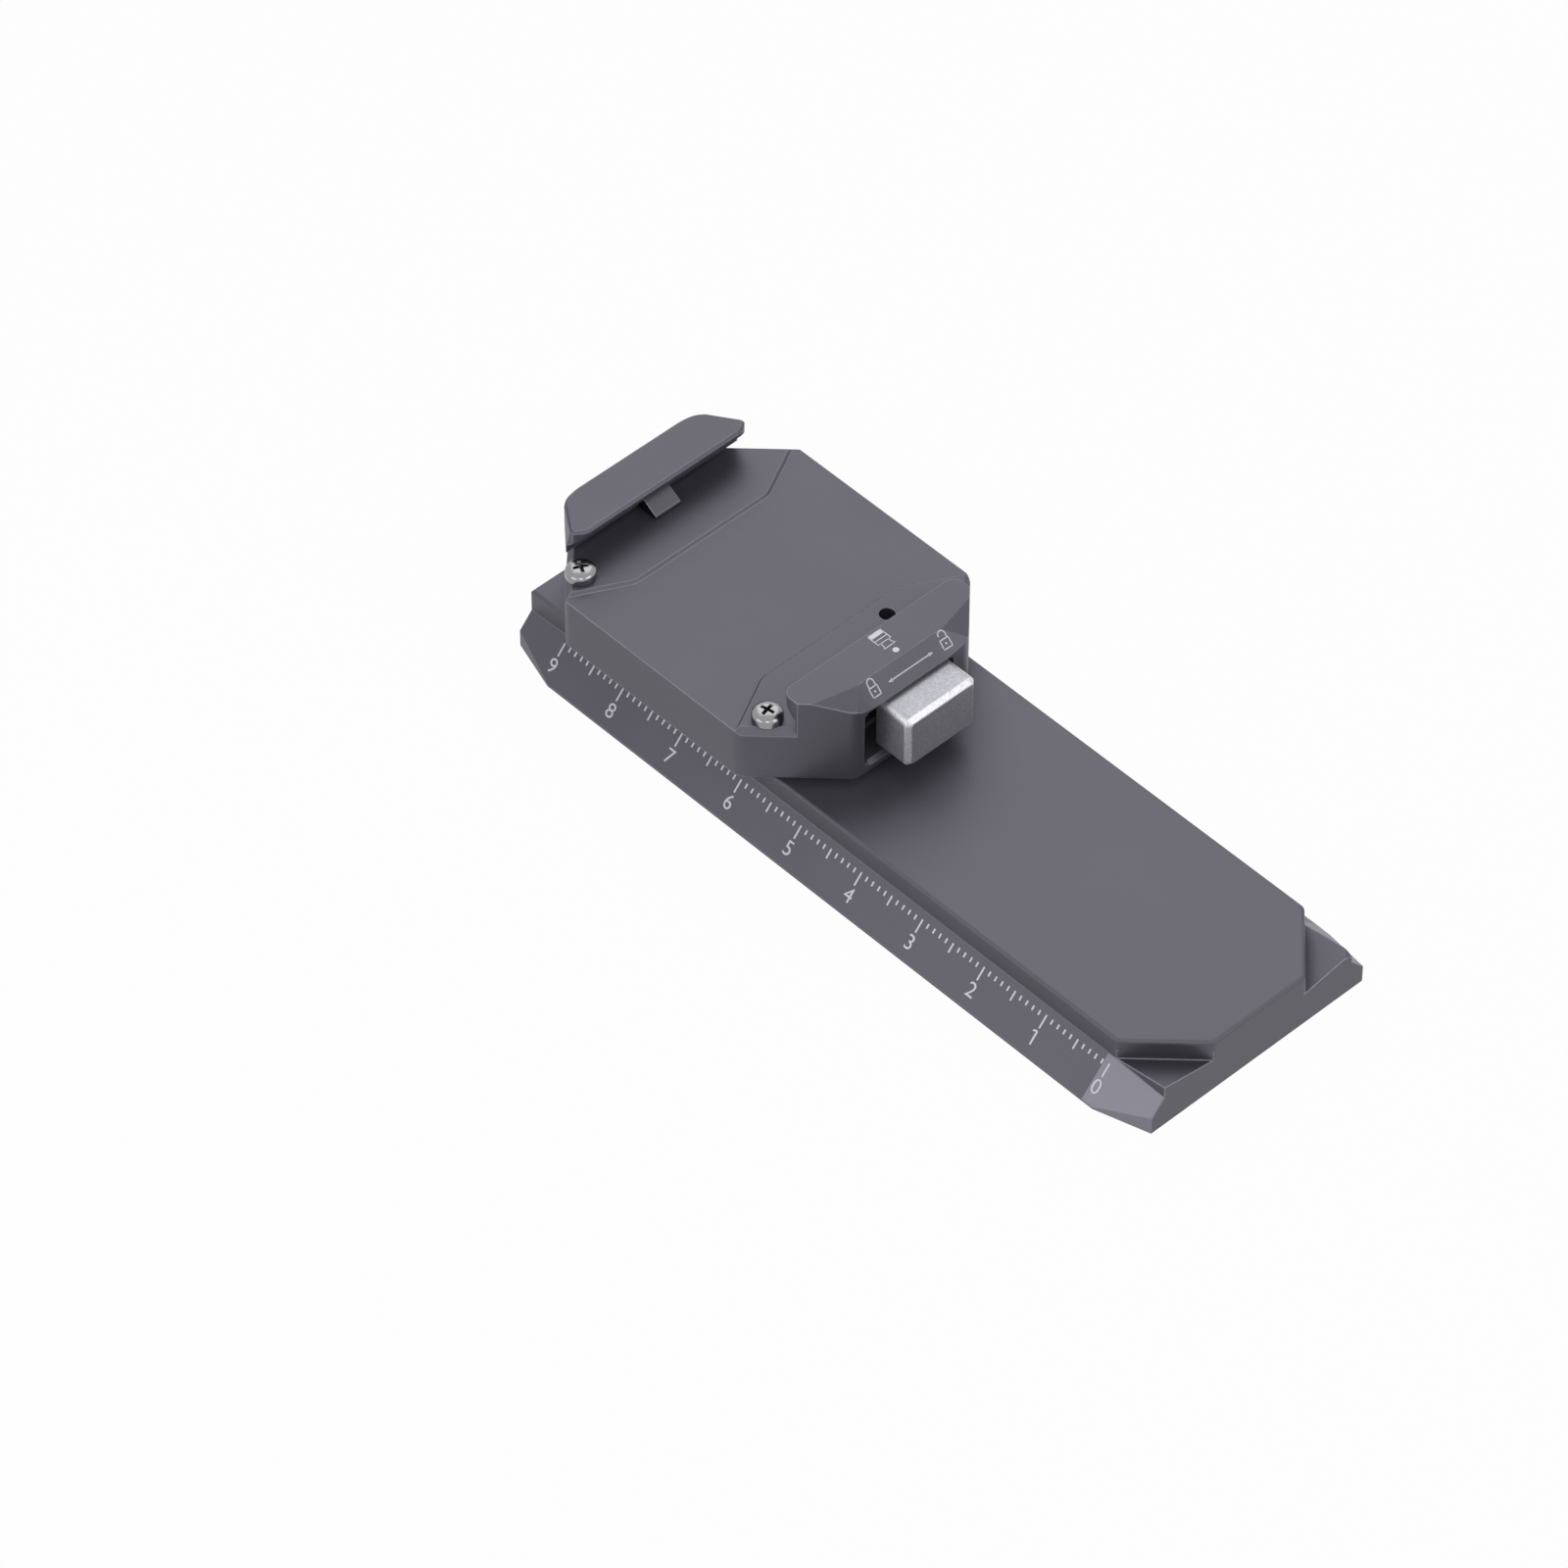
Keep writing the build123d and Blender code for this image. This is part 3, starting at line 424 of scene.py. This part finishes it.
sizes = {"Count": SCALE_COUNT, "Long": 1.78, "Middle": 1.28, "Short": 0.62, "Width": 0.23}
ticks, start, end = new_tree("scale_strokes", {**sizes, "Depth": MARK_DEPTH})
line = ticks.nodes.new("GeometryNodeMeshLine")
line.inputs["Start Location"].default_value = (1 - SCALE_COUNT, 0, 0)
line.inputs["Offset"].default_value = (1, 0, 0)
ticks.links.new(start.outputs["Count"], line.inputs["Count"])
number = ticks.nodes.new("GeometryNodeInputIndex")
length = start.outputs["Short"]
for every, title in ((5, "Middle"), (10, "Long")):
    rest = calculated(ticks, "MODULO", number.outputs[0], every)
    chosen = ticks.nodes.new("GeometryNodeSwitch")
    chosen.input_type = "FLOAT"
    ticks.links.new(rest, chosen.inputs["Switch"])
    ticks.links.new(start.outputs[title], chosen.inputs["False"])
    ticks.links.new(length, chosen.inputs["True"])
    length = chosen.outputs["Output"]
size = ticks.nodes.new("ShaderNodeCombineXYZ")
ticks.links.new(start.outputs["Width"], size.inputs["X"])
ticks.links.new(length, size.inputs["Y"])
ticks.links.new(start.outputs["Depth"], size.inputs["Z"])
stroke = ticks.nodes.new("GeometryNodeMeshCube")
hung = ticks.nodes.new("GeometryNodeTransform")
hung.inputs["Translation"].default_value = (0, -0.5, 0)
ticks.links.new(stroke.outputs["Mesh"], hung.inputs["Geometry"])
places = ticks.nodes.new("GeometryNodeInstanceOnPoints")
ticks.links.new(line.outputs["Mesh"], places.inputs["Points"])
ticks.links.new(hung.outputs["Geometry"], places.inputs["Instance"])
ticks.links.new(size.outputs["Vector"], places.inputs["Scale"])
finish_tree(ticks, places.outputs["Instances"], end, marked)
print("nodes in the tree:", len(ticks.nodes))

# %% Lay the strokes on the slope
strokes = grow(ticks, bpy.data.meshes.new("seed"), sizes)
lay(strokes, scale_line + Vector((SCALE_END_X, 0, 0)), (1, 0, 0), slope_up)
keep(strokes, "scale_strokes", "housing")

# %% [markdown]
# ### The numbers of the scale
# Plain numbers stand below the centimetre strokes, read from the front. Blender's own font makes
# them. Each is made a mesh before it is laid down. Its one has no flag, so a small patch adds it.

# %% Write the numbers
NUMBER_HEIGHT = 1.9
NUMBER_MIDDLE_Y = -17.49
FONT_HEIGHT = 0.729
FLAG_REACH = 0.42
FLAG_WIDTH = 0.5
FLAG_DROP = 0.2
FLAG_THICK = 0.24
figures = []
for value in range(10):
    curve = bpy.data.curves.new("number", "FONT")
    curve.body = str(value)
    curve.align_x = "CENTER"
    curve.size = NUMBER_HEIGHT / FONT_HEIGHT
    curve.extrude = MARK_DEPTH / 2
    text = bpy.data.objects.new("number", curve)
    figure = bpy.data.meshes.new_from_object(text)
    bpy.data.objects.remove(text)
    if value == 1:
        stem = min(point.co.x for point in figure.vertices)
        tip, root = stem - FLAG_REACH, stem - FLAG_REACH + FLAG_WIDTH
        low, high = NUMBER_HEIGHT - FLAG_THICK, NUMBER_HEIGHT
        flag = [(tip, low - FLAG_DROP), (root, low), (root, high), (tip, high - FLAG_DROP)]
        figure = joined([figure, patch(flag)], "number")
    figure.transform(Matrix.Translation((0, -NUMBER_HEIGHT / 2, 0)))
    middle = SLOPE_TOP + slope_up * ((NUMBER_MIDDLE_Y - SLOPE_TOP.y) / slope_up.y)
    lay(figure, middle + Vector((SCALE_END_X - 10 * value, 0, 0)), (1, 0, 0), slope_up)
    figures.append(figure)
keep(joined(figures, "scale_numbers"), "scale_numbers", "housing", marked)

# %% [markdown]
# ### Signs by the button
# On the bevel above the button a closed padlock, a two-headed arrow and an open padlock say which
# way the button locks, and a small camera on the jaw's top says which way the lens points. A sign
# is a set of lines. The tree gives every line the same flat profile.

# %% Tree for a marked line
lines, start, end = new_tree("marked_line", {"Width": 0.2, "Depth": MARK_DEPTH})
path = lines.nodes.new("GeometryNodeMeshToCurve")
profile = lines.nodes.new("GeometryNodeCurvePrimitiveQuadrilateral")
ribbon = lines.nodes.new("GeometryNodeCurveToMesh")
ribbon.inputs["Fill Caps"].default_value = True
lines.links.new(start.outputs["Geometry"], path.inputs["Mesh"])
lines.links.new(start.outputs["Width"], profile.inputs["Width"])
lines.links.new(start.outputs["Depth"], profile.inputs["Height"])
lines.links.new(path.outputs["Curve"], ribbon.inputs["Curve"])
lines.links.new(profile.outputs["Curve"], ribbon.inputs["Profile Curve"])
finish_tree(lines, ribbon.outputs["Mesh"], end, marked)
print("nodes in the tree:", len(lines.nodes))


# %% Helpers for the signs
def stepped(path_points, step=0.3):
    """The same line with points at most a step apart, so that it can follow a curved face."""
    result = [path_points[0]]
    for (x1, y1), (x2, y2) in zip(path_points, path_points[1:]):
        count = max(1, math.ceil(math.dist((x1, y1), (x2, y2)) / step))
        ways = [i / count for i in range(1, count + 1)]
        result += [(x1 + (x2 - x1) * way, y1 + (y2 - y1) * way) for way in ways]
    return result


def drawn(paths, width):
    """Open or closed lines, as flat strips of one width."""
    points, edges = [], []
    for path_points in map(stepped, paths):
        first = len(points)
        points += [(x, y, 0) for x, y in path_points]
        edges += [(i, i + 1) for i in range(first, len(points) - 1)]
        if math.dist(path_points[0], path_points[-1]) < 1e-6:
            points.pop()
            edges[-1] = (len(points) - 1, first)
    seed = bpy.data.meshes.new("seed")
    seed.from_pydata(points, edges, [])
    return grow(lines, seed, {"Width": width, "Depth": MARK_DEPTH})


def settle(mesh, node, origin, out):
    """Lets a laid mark down onto a node's surface, so that it follows where the face bends."""
    carrier = frame["nodes"][node].data
    surface = BVHTree.FromPolygons(
        [v.co for v in carrier.vertices], [list(face.vertices) for face in carrier.polygons]
    )
    out = Vector(out).normalized()
    start = Vector(origin) * MM
    for point in mesh.vertices:
        height = (point.co - start).dot(out)
        landed = surface.ray_cast(point.co + out * 3 * MM, -out)[0]
        point.co = landed + out * height
    mesh.update()
    return mesh


def arc(x, y, radius, first, last, steps):
    """Points along an arc, by its angles in degrees."""
    angles = [math.radians(first + (last - first) * step / steps) for step in range(steps + 1)]
    return [(x + radius * math.cos(angle), y + radius * math.sin(angle)) for angle in angles]


# %% Draw the padlocks and the arrow on the bevel
BEVEL_EDGE = (-3.7, 0, 18.75)
BEVEL_UP = (-2.35, 0, 2.25)
LINE = 0.17


def padlock(x, y, opened):
    """A padlock's lines about the lower left corner of its body."""
    body = [(x, y), (x + 1.2, y), (x + 1.2, y + 1.15), (x, y + 1.15), (x, y)]
    leg = y + 1.15
    left_foot = leg + (0.5 if opened else 0)
    right = [(x + 1.08, leg)] + arc(x + 0.6, leg + 0.55, 0.48, 0, 180, 8) + [(x + 0.12, left_foot)]
    hole = arc(x + 0.6, y + 0.58, 0.13, 0, 330, 8)
    return [drawn([body, right], LINE), patch(hole)]


def arrowhead(x, y, way):
    """A filled arrow tip."""
    return patch([(x, y), (x - way * 0.62, y + 0.24), (x - way * 0.62, y - 0.24)][::way])


signs = padlock(-5.55, 0.9, False) + padlock(5.6, 0.9, True)
signs += [drawn([[(-2.5, 1.48), (3.75, 1.48)]], LINE)]
signs += [arrowhead(-2.88, 1.48, -1), arrowhead(4.12, 1.48, 1)]
signs = lay(joined(signs, "lock_signs"), BEVEL_EDGE, (0, 1, 0), BEVEL_UP)
settle(signs, "clamp_body", BEVEL_EDGE, Vector((0, 1, 0)).cross(Vector(BEVEL_UP)))
keep(signs, "lock_signs", "housing", marked)

# %% Draw the camera on the jaw's top
CAMERA_CORNER = (-10.68, -0.5, 21.0)
body = [(0, 0), (1.95, 0), (1.95, -1.75), (0, -1.75), (0, 0)]
finder = [(0.05, -1.12), (1.9, -1.12)]
lens = [(0.35, -1.75), (0.35, -2.25), (0.1, -2.65), (1.85, -2.65), (1.6, -2.25), (1.6, -1.75)]
band = [(0.05, -0.62), (1.9, -0.62), (1.9, -0.08), (0.05, -0.08)]
camera_sign = [drawn([body, finder, lens], 0.15), patch(band)]
camera_sign += [patch(arc(0.98, -3.6, 0.4, 0, 345, 23))]
camera_sign = lay(joined(camera_sign, "camera_sign"), CAMERA_CORNER, (0, 1, 0), (-1, 0, 0))
keep(camera_sign, "camera_sign", "housing", marked)

# %% [markdown]
# ## Stop screws
# The two small screws on the side strips are polished, with a low domed head and a cross recess.
# The head is turned from a profile, the recess is cut by a Boolean with a tapered cross, and a
# tree sets one copy on each strip.

# %% Turn one screw
STOP_X = (-43.85, -12.45)
STOP_Y = -14.5
STRIP_Z = 16.4
HEAD_PROFILE = [
    (0, -3.5),
    (0.85, -3.5),
    (1.0, -3.35),
    (1.0, 0),
    (1.78, 0),
    (1.88, 0.1),
    (1.88, 0.72),
    (1.84, 0.92),
    (1.72, 1.1),
    (1.5, 1.25),
    (1.2, 1.36),
    (0.8, 1.45),
    (0.4, 1.49),
    (0, 1.5),
]


def turned(profile, steps):
    """A closed solid turned about the Z axis from its half section."""
    whole = bmesh.new()
    points = [whole.verts.new((x, 0, z)) for x, z in profile]
    sides = [whole.edges.new(pair) for pair in zip(points, points[1:])]
    bmesh.ops.spin(
        whole, geom=points + sides, axis=(0, 0, 1), cent=(0, 0, 0), angle=math.tau, steps=steps
    )
    bmesh.ops.remove_doubles(whole, verts=whole.verts, dist=1e-4)
    bmesh.ops.recalc_face_normals(whole, faces=whole.faces)
    mesh = bpy.data.meshes.new("turned")
    whole.to_mesh(mesh)
    whole.free()
    return mesh


def tapered_cross(arm, width, top, depth, narrowing):
    """A cross that narrows downwards to a share of its size, to cut the recess."""
    outline = []
    for quarter in range(4):
        turn = Matrix.Rotation(quarter * math.pi / 2, 2)
        outline += [turn @ Vector(p) for p in ((arm, -width), (arm, width), (width, width))]
    whole = bmesh.new()
    upper = [whole.verts.new((p.x, p.y, top)) for p in outline]
    lower = [
        whole.verts.new((p.x * narrowing, p.y * narrowing, top - depth)) for p in outline
    ]
    whole.faces.new(upper)
    whole.faces.new(lower[::-1])
    for i in range(len(outline)):
        j = (i + 1) % len(outline)
        whole.faces.new((upper[i], lower[i], lower[j], upper[j]))
    bmesh.ops.recalc_face_normals(whole, faces=whole.faces)
    mesh = bpy.data.meshes.new("cross")
    whole.to_mesh(mesh)
    whole.free()
    return mesh


head = bpy.data.objects.new("head", turned(HEAD_PROFILE, steps=48))
recess = tapered_cross(arm=1.05, width=0.24, top=1.7, depth=1.25, narrowing=0.45)
cross = bpy.data.objects.new("cross", recess)
for part in (head, cross):
    scene.collection.objects.link(part)
cut = head.modifiers.new("cut", "BOOLEAN")
cut.operation = "DIFFERENCE"
cut.object = cross
cut.solver = "EXACT"
graph = bpy.context.evaluated_depsgraph_get()
screw_mesh = bpy.data.meshes.new_from_object(head.evaluated_get(graph))
bpy.data.objects.remove(head)
bpy.data.objects.remove(cross)
print("screw faces:", len(screw_mesh.polygons))

# %% Tree that sets the screws, each turned its own way
screws, start, end = new_tree("screw_places", {"Seed": 4})
model = bpy.data.objects.new("screw_model", screw_mesh)
scene.collection.objects.link(model)
info = screws.nodes.new("GeometryNodeObjectInfo")
info.inputs["Object"].default_value = model
spin = screws.nodes.new("FunctionNodeRandomValue")
spin.data_type = "FLOAT"
spin.inputs[3].default_value = math.pi / 2
screws.links.new(start.outputs["Seed"], spin.inputs["Seed"])
angle = screws.nodes.new("ShaderNodeCombineXYZ")
screws.links.new(spin.outputs[1], angle.inputs["Z"])
places = screws.nodes.new("GeometryNodeInstanceOnPoints")
screws.links.new(start.outputs["Geometry"], places.inputs["Points"])
screws.links.new(info.outputs["Geometry"], places.inputs["Instance"])
screws.links.new(angle.outputs["Vector"], places.inputs["Rotation"])
finish_tree(screws, places.outputs["Instances"], end, polished)
print("nodes in the tree:", len(screws.nodes))

# %% Set the screws
seats = bpy.data.meshes.new("seats")
seats.from_pydata([(x, STOP_Y, STRIP_Z) for x in STOP_X], [], [])
stop_screws = grow(screws, seats, {"Seed": 4})
bpy.data.objects.remove(model)
stop_screws.transform(Matrix.Scale(MM, 4))
stop_screws.shade_smooth()
stop_screws.set_sharp_from_angle(angle=math.radians(32))
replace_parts(keep(stop_screws, "stop_screw_heads", "housing"), "stop_screws")

# %% [markdown]
# ## Changed copies of measured pieces
# A measured piece is never changed itself. Where its shape has to differ, a copy stands in: its
# doubled points are merged, the points are moved, and a new mesh is built from them.


# %% Helpers for a changed copy
def merged_copy(node):
    """A measured piece's shape with its doubled points merged, to be changed."""
    shape = bmesh.new()
    shape.from_mesh(frame["nodes"][node].data)
    bmesh.ops.remove_doubles(shape, verts=shape.verts, dist=1e-6)
    return shape


def rebuilt(shape, name, material, angle):
    """The shape as a new mesh, smooth but for edges sharper than an angle."""
    shape.verts.index_update()
    corners = [point.co.copy() for point in shape.verts]
    sides = [[point.index for point in face.verts] for face in shape.faces]
    shape.free()
    mesh = bpy.data.meshes.new(name)
    mesh.from_pydata(corners, [], sides)
    mesh.materials.append(material)
    mesh.shade_smooth()
    mesh.set_sharp_from_angle(angle=math.radians(angle))
    return mesh


# %% [markdown]
# ### The moving jaw's cut corners
# In the picture the cut corners of the moving jaw are flush with the housing below it. A copy of
# the measured jaw takes that shape: above the strip, points near a cut corner slide sideways, no
# further than the jaw's end.

# %% Widen the jaw's cut corners
CLAMP_X = -27.9
CORNER_REACH = 1.2
CORNER_START = 28.6
CORNER_RUN = 3.4
LIP_BACK = 17.9
LIP_RUN = 1.5
END_SIDE = 13.55
END_BEVEL = 0.35
JAW_TOP = 21.0
JAW_FOOT = STRIP_Z + 0.3


def share_of(value, start, run):
    """How far a value has come from a start along a run, between 0 and 1."""
    return min(1, max(0, (value - start) / run))


shaped = merged_copy("moving_jaw")
moved = 0
for point in shaped.verts:
    back, side, height = CLAMP_X - point.co.x / MM, abs(point.co.y) / MM, point.co.z / MM
    near = share_of(back + side, CORNER_START, CORNER_RUN) ** 2 * share_of(back, LIP_BACK, LIP_RUN)
    if near > 0 and height > JAW_FOOT:
        limit = END_SIDE - END_BEVEL * share_of(height, JAW_TOP - END_BEVEL, END_BEVEL)
        side = max(side, min(limit, side + CORNER_REACH * near))
        point.co.y = math.copysign(side, point.co.y) * MM
        moved += 1
jaw_mesh = rebuilt(shaped, "jaw_bar", anodised, angle=24)
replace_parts(keep(jaw_mesh, "jaw_bar", "jaw"), "moving_jaw")
print("jaw points moved:", moved)

# %% [markdown]
# ### Copies of the springs
# When the jaw opens or the pin is pushed, their springs are pressed together from one end. The
# measured springs can't do that, so a copy of each stands in. The record says which end is fixed,
# and the spring's length from that end is worked out, but nothing uses it yet.

# %% Put copies of the springs in place
BODY_OF_SPRING = {"jaw_spring_left": "housing", "jaw_spring_right": "housing", "pin_spring": "jaw"}
for joint in frame["record"]["behaviour"]["joints"]:
    for spring in joint.get("deforming_nodes", []):
        node, fixed = spring["node"], spring["fixed_end_x_m"]
        low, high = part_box(node)
        length = max(abs(low[0] - fixed), abs(high[0] - fixed))
        coil_mesh = rebuilt(merged_copy(node), node + "_coil", spring_wire, angle=30)
        coil = keep(coil_mesh, node + "_coil", BODY_OF_SPRING[node])
        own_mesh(coil)
        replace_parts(coil, node)

# %% [markdown]
# ## Threads in the underside
# The three holes in the underside take a tripod's screws. A thread is one ridge that winds up the
# wall, so the tree sweeps a small diamond along a spiral, once for each hole.

# %% Tree for a thread
thread_sizes = {"Turns": 4.0, "Pitch": 1.27, "Radius": 2.55, "Ridge": 0.14}
threads, start, end = new_tree("inside_thread", thread_sizes)
spiral = threads.nodes.new("GeometryNodeCurveSpiral")
spiral.inputs["Resolution"].default_value = 36
rise = calculated(threads, "MULTIPLY", start.outputs["Turns"], start.outputs["Pitch"])
threads.links.new(start.outputs["Turns"], spiral.inputs["Rotations"])
threads.links.new(start.outputs["Radius"], spiral.inputs["Start Radius"])
threads.links.new(start.outputs["Radius"], spiral.inputs["End Radius"])
threads.links.new(rise, spiral.inputs["Height"])
ridge = threads.nodes.new("GeometryNodeCurvePrimitiveCircle")
ridge.inputs["Resolution"].default_value = 4
sweep = threads.nodes.new("GeometryNodeCurveToMesh")
sweep.inputs["Fill Caps"].default_value = True
threads.links.new(start.outputs["Ridge"], ridge.inputs["Radius"])
threads.links.new(spiral.outputs["Curve"], sweep.inputs["Curve"])
threads.links.new(ridge.outputs["Curve"], sweep.inputs["Profile Curve"])
finish_tree(threads, sweep.outputs["Mesh"], end, anodised)
print("nodes in the tree:", len(threads.nodes))

# %% Wind the three threads
THREAD_START_Z = 0.25
THREAD_LENGTH = 5.2
for name, hole_x, pitch, radius in (
    ("thread_left", 9, 1.27, 2.55),
    ("thread_large", 24, 1.59, 3.97),
    ("thread_right", 39, 1.27, 2.55),
):
    sizes = {**thread_sizes, "Turns": THREAD_LENGTH / pitch, "Pitch": pitch, "Radius": radius}
    wound = grow(threads, bpy.data.meshes.new("seed"), sizes)
    lay(wound, (hole_x, 0, THREAD_START_Z), (1, 0, 0), (0, 1, 0))
    keep(wound, name, "housing")

# %% [markdown]
# ## Floor, world and lamps
# The plate lies on a plain white sweep. The camera and the metal see the floor nearly white, and
# a little of its own shading is left in, so the plate's soft shadow stays. The floor lies a hair
# below the plate and its back can be looked through, so that the underside can be seen too. Four
# soft lamps light the metal: one from behind on the left is mirrored by the level tops, one from
# the right catches the end and the bevels, a low small one lights the slope with its scale, and a
# weak one by the camera fills in. The world is white where the camera or a reflection meets it.

# %% Helper for white surroundings
def seen_rays(tree):
    """A mask that is one for rays from the camera, from a reflection or through glass."""
    ray = tree.nodes.new("ShaderNodeLightPath").outputs
    mask = calculated(tree, "MAXIMUM", ray["Is Camera Ray"], ray["Is Glossy Ray"])
    return calculated(tree, "MAXIMUM", mask, ray["Is Transmission Ray"])


# %% Make the floor
FLOOR_HALF = 3
FLOOR_Z = -0.05 * MM
FLOOR_GLOW = 0.98
floor_corners = [(-1, -1), (1, -1), (1, 1), (-1, 1)]
floor_mesh = bpy.data.meshes.new("floor")
floor_mesh.from_pydata(
    [(x * FLOOR_HALF, y * FLOOR_HALF, FLOOR_Z) for x, y in floor_corners], [], [(0, 1, 2, 3)]
)
floor = bpy.data.objects.new("floor", floor_mesh)
scene.collection.objects.link(floor)
white = bpy.data.materials.new("white_sweep")
white.use_nodes = True
tree = white.node_tree
nodes, links = tree.nodes, tree.links
shader = nodes["Principled BSDF"]
shader.inputs["Base Color"].default_value = (0.86, 0.86, 0.86, 1)
shader.inputs["Roughness"].default_value = 0.9
glow = nodes.new("ShaderNodeEmission")
blend = nodes.new("ShaderNodeMixShader")
links.new(calculated(tree, "MULTIPLY", seen_rays(tree), FLOOR_GLOW), blend.inputs[0])
links.new(shader.outputs[0], blend.inputs[1])
links.new(glow.outputs[0], blend.inputs[2])
face = nodes.new("ShaderNodeNewGeometry")
clear = nodes.new("ShaderNodeBsdfTransparent")
one_sided = nodes.new("ShaderNodeMixShader")
links.new(face.outputs["Backfacing"], one_sided.inputs[0])
links.new(blend.outputs[0], one_sided.inputs[1])
links.new(clear.outputs[0], one_sided.inputs[2])
links.new(one_sided.outputs[0], nodes["Material Output"].inputs["Surface"])
floor_mesh.materials.append(white)
print("floor at", round(FLOOR_Z / MM, 3), "mm")


# %% Set the lamps and the world
WORLD_FILL = 0.03


def lamp(name, place, size, radiance, target=(0, 0, 0.008)):
    """A square soft lamp whose surface glows at a given level, turned to its target."""
    light = bpy.data.lights.new(name, "AREA")
    light.size = size
    light.energy = radiance * math.pi * size * size
    piece = bpy.data.objects.new(name, light)
    scene.collection.objects.link(piece)
    piece.location = place
    way = Vector(target) - Vector(place)
    piece.rotation_euler = way.to_track_quat("-Z", "Y").to_euler()
    return piece


def softbox(name, way, distance, size, radiance):
    """A lamp placed by its direction and distance from the middle of the plate."""
    return lamp(name, Vector(way).normalized() * distance, size, radiance)


# Each softbox: name, direction, distance, size and level. The lamp for the scale has its place.
softbox("back_left", (-0.50, 0.47, 0.72), 0.9, 0.75, 1.05)
softbox("right", (0.77, 0.2, 0.58), 0.8, 0.42, 2.0)
softbox("camera_side", (0.5, -0.5, 0.72), 1.0, 0.3, 3)
lamp("scale", (-0.045, -0.21, 0.1), 0.13, 1.4, (0.04, -0.017, 0.003))
world = bpy.data.worlds.new("studio")
scene.world = world
world.use_nodes = True
tree = world.node_tree
nodes, links = tree.nodes, tree.links
nodes["Background"].inputs["Color"].default_value = (1, 1, 1, 1)
level = nodes.new("ShaderNodeMapRange")
level.inputs["To Min"].default_value = WORLD_FILL
level.inputs["To Max"].default_value = 1
links.new(seen_rays(tree), level.inputs["Value"])
links.new(level.outputs["Result"], nodes["Background"].inputs["Strength"])
scene.view_settings.view_transform = "Standard"
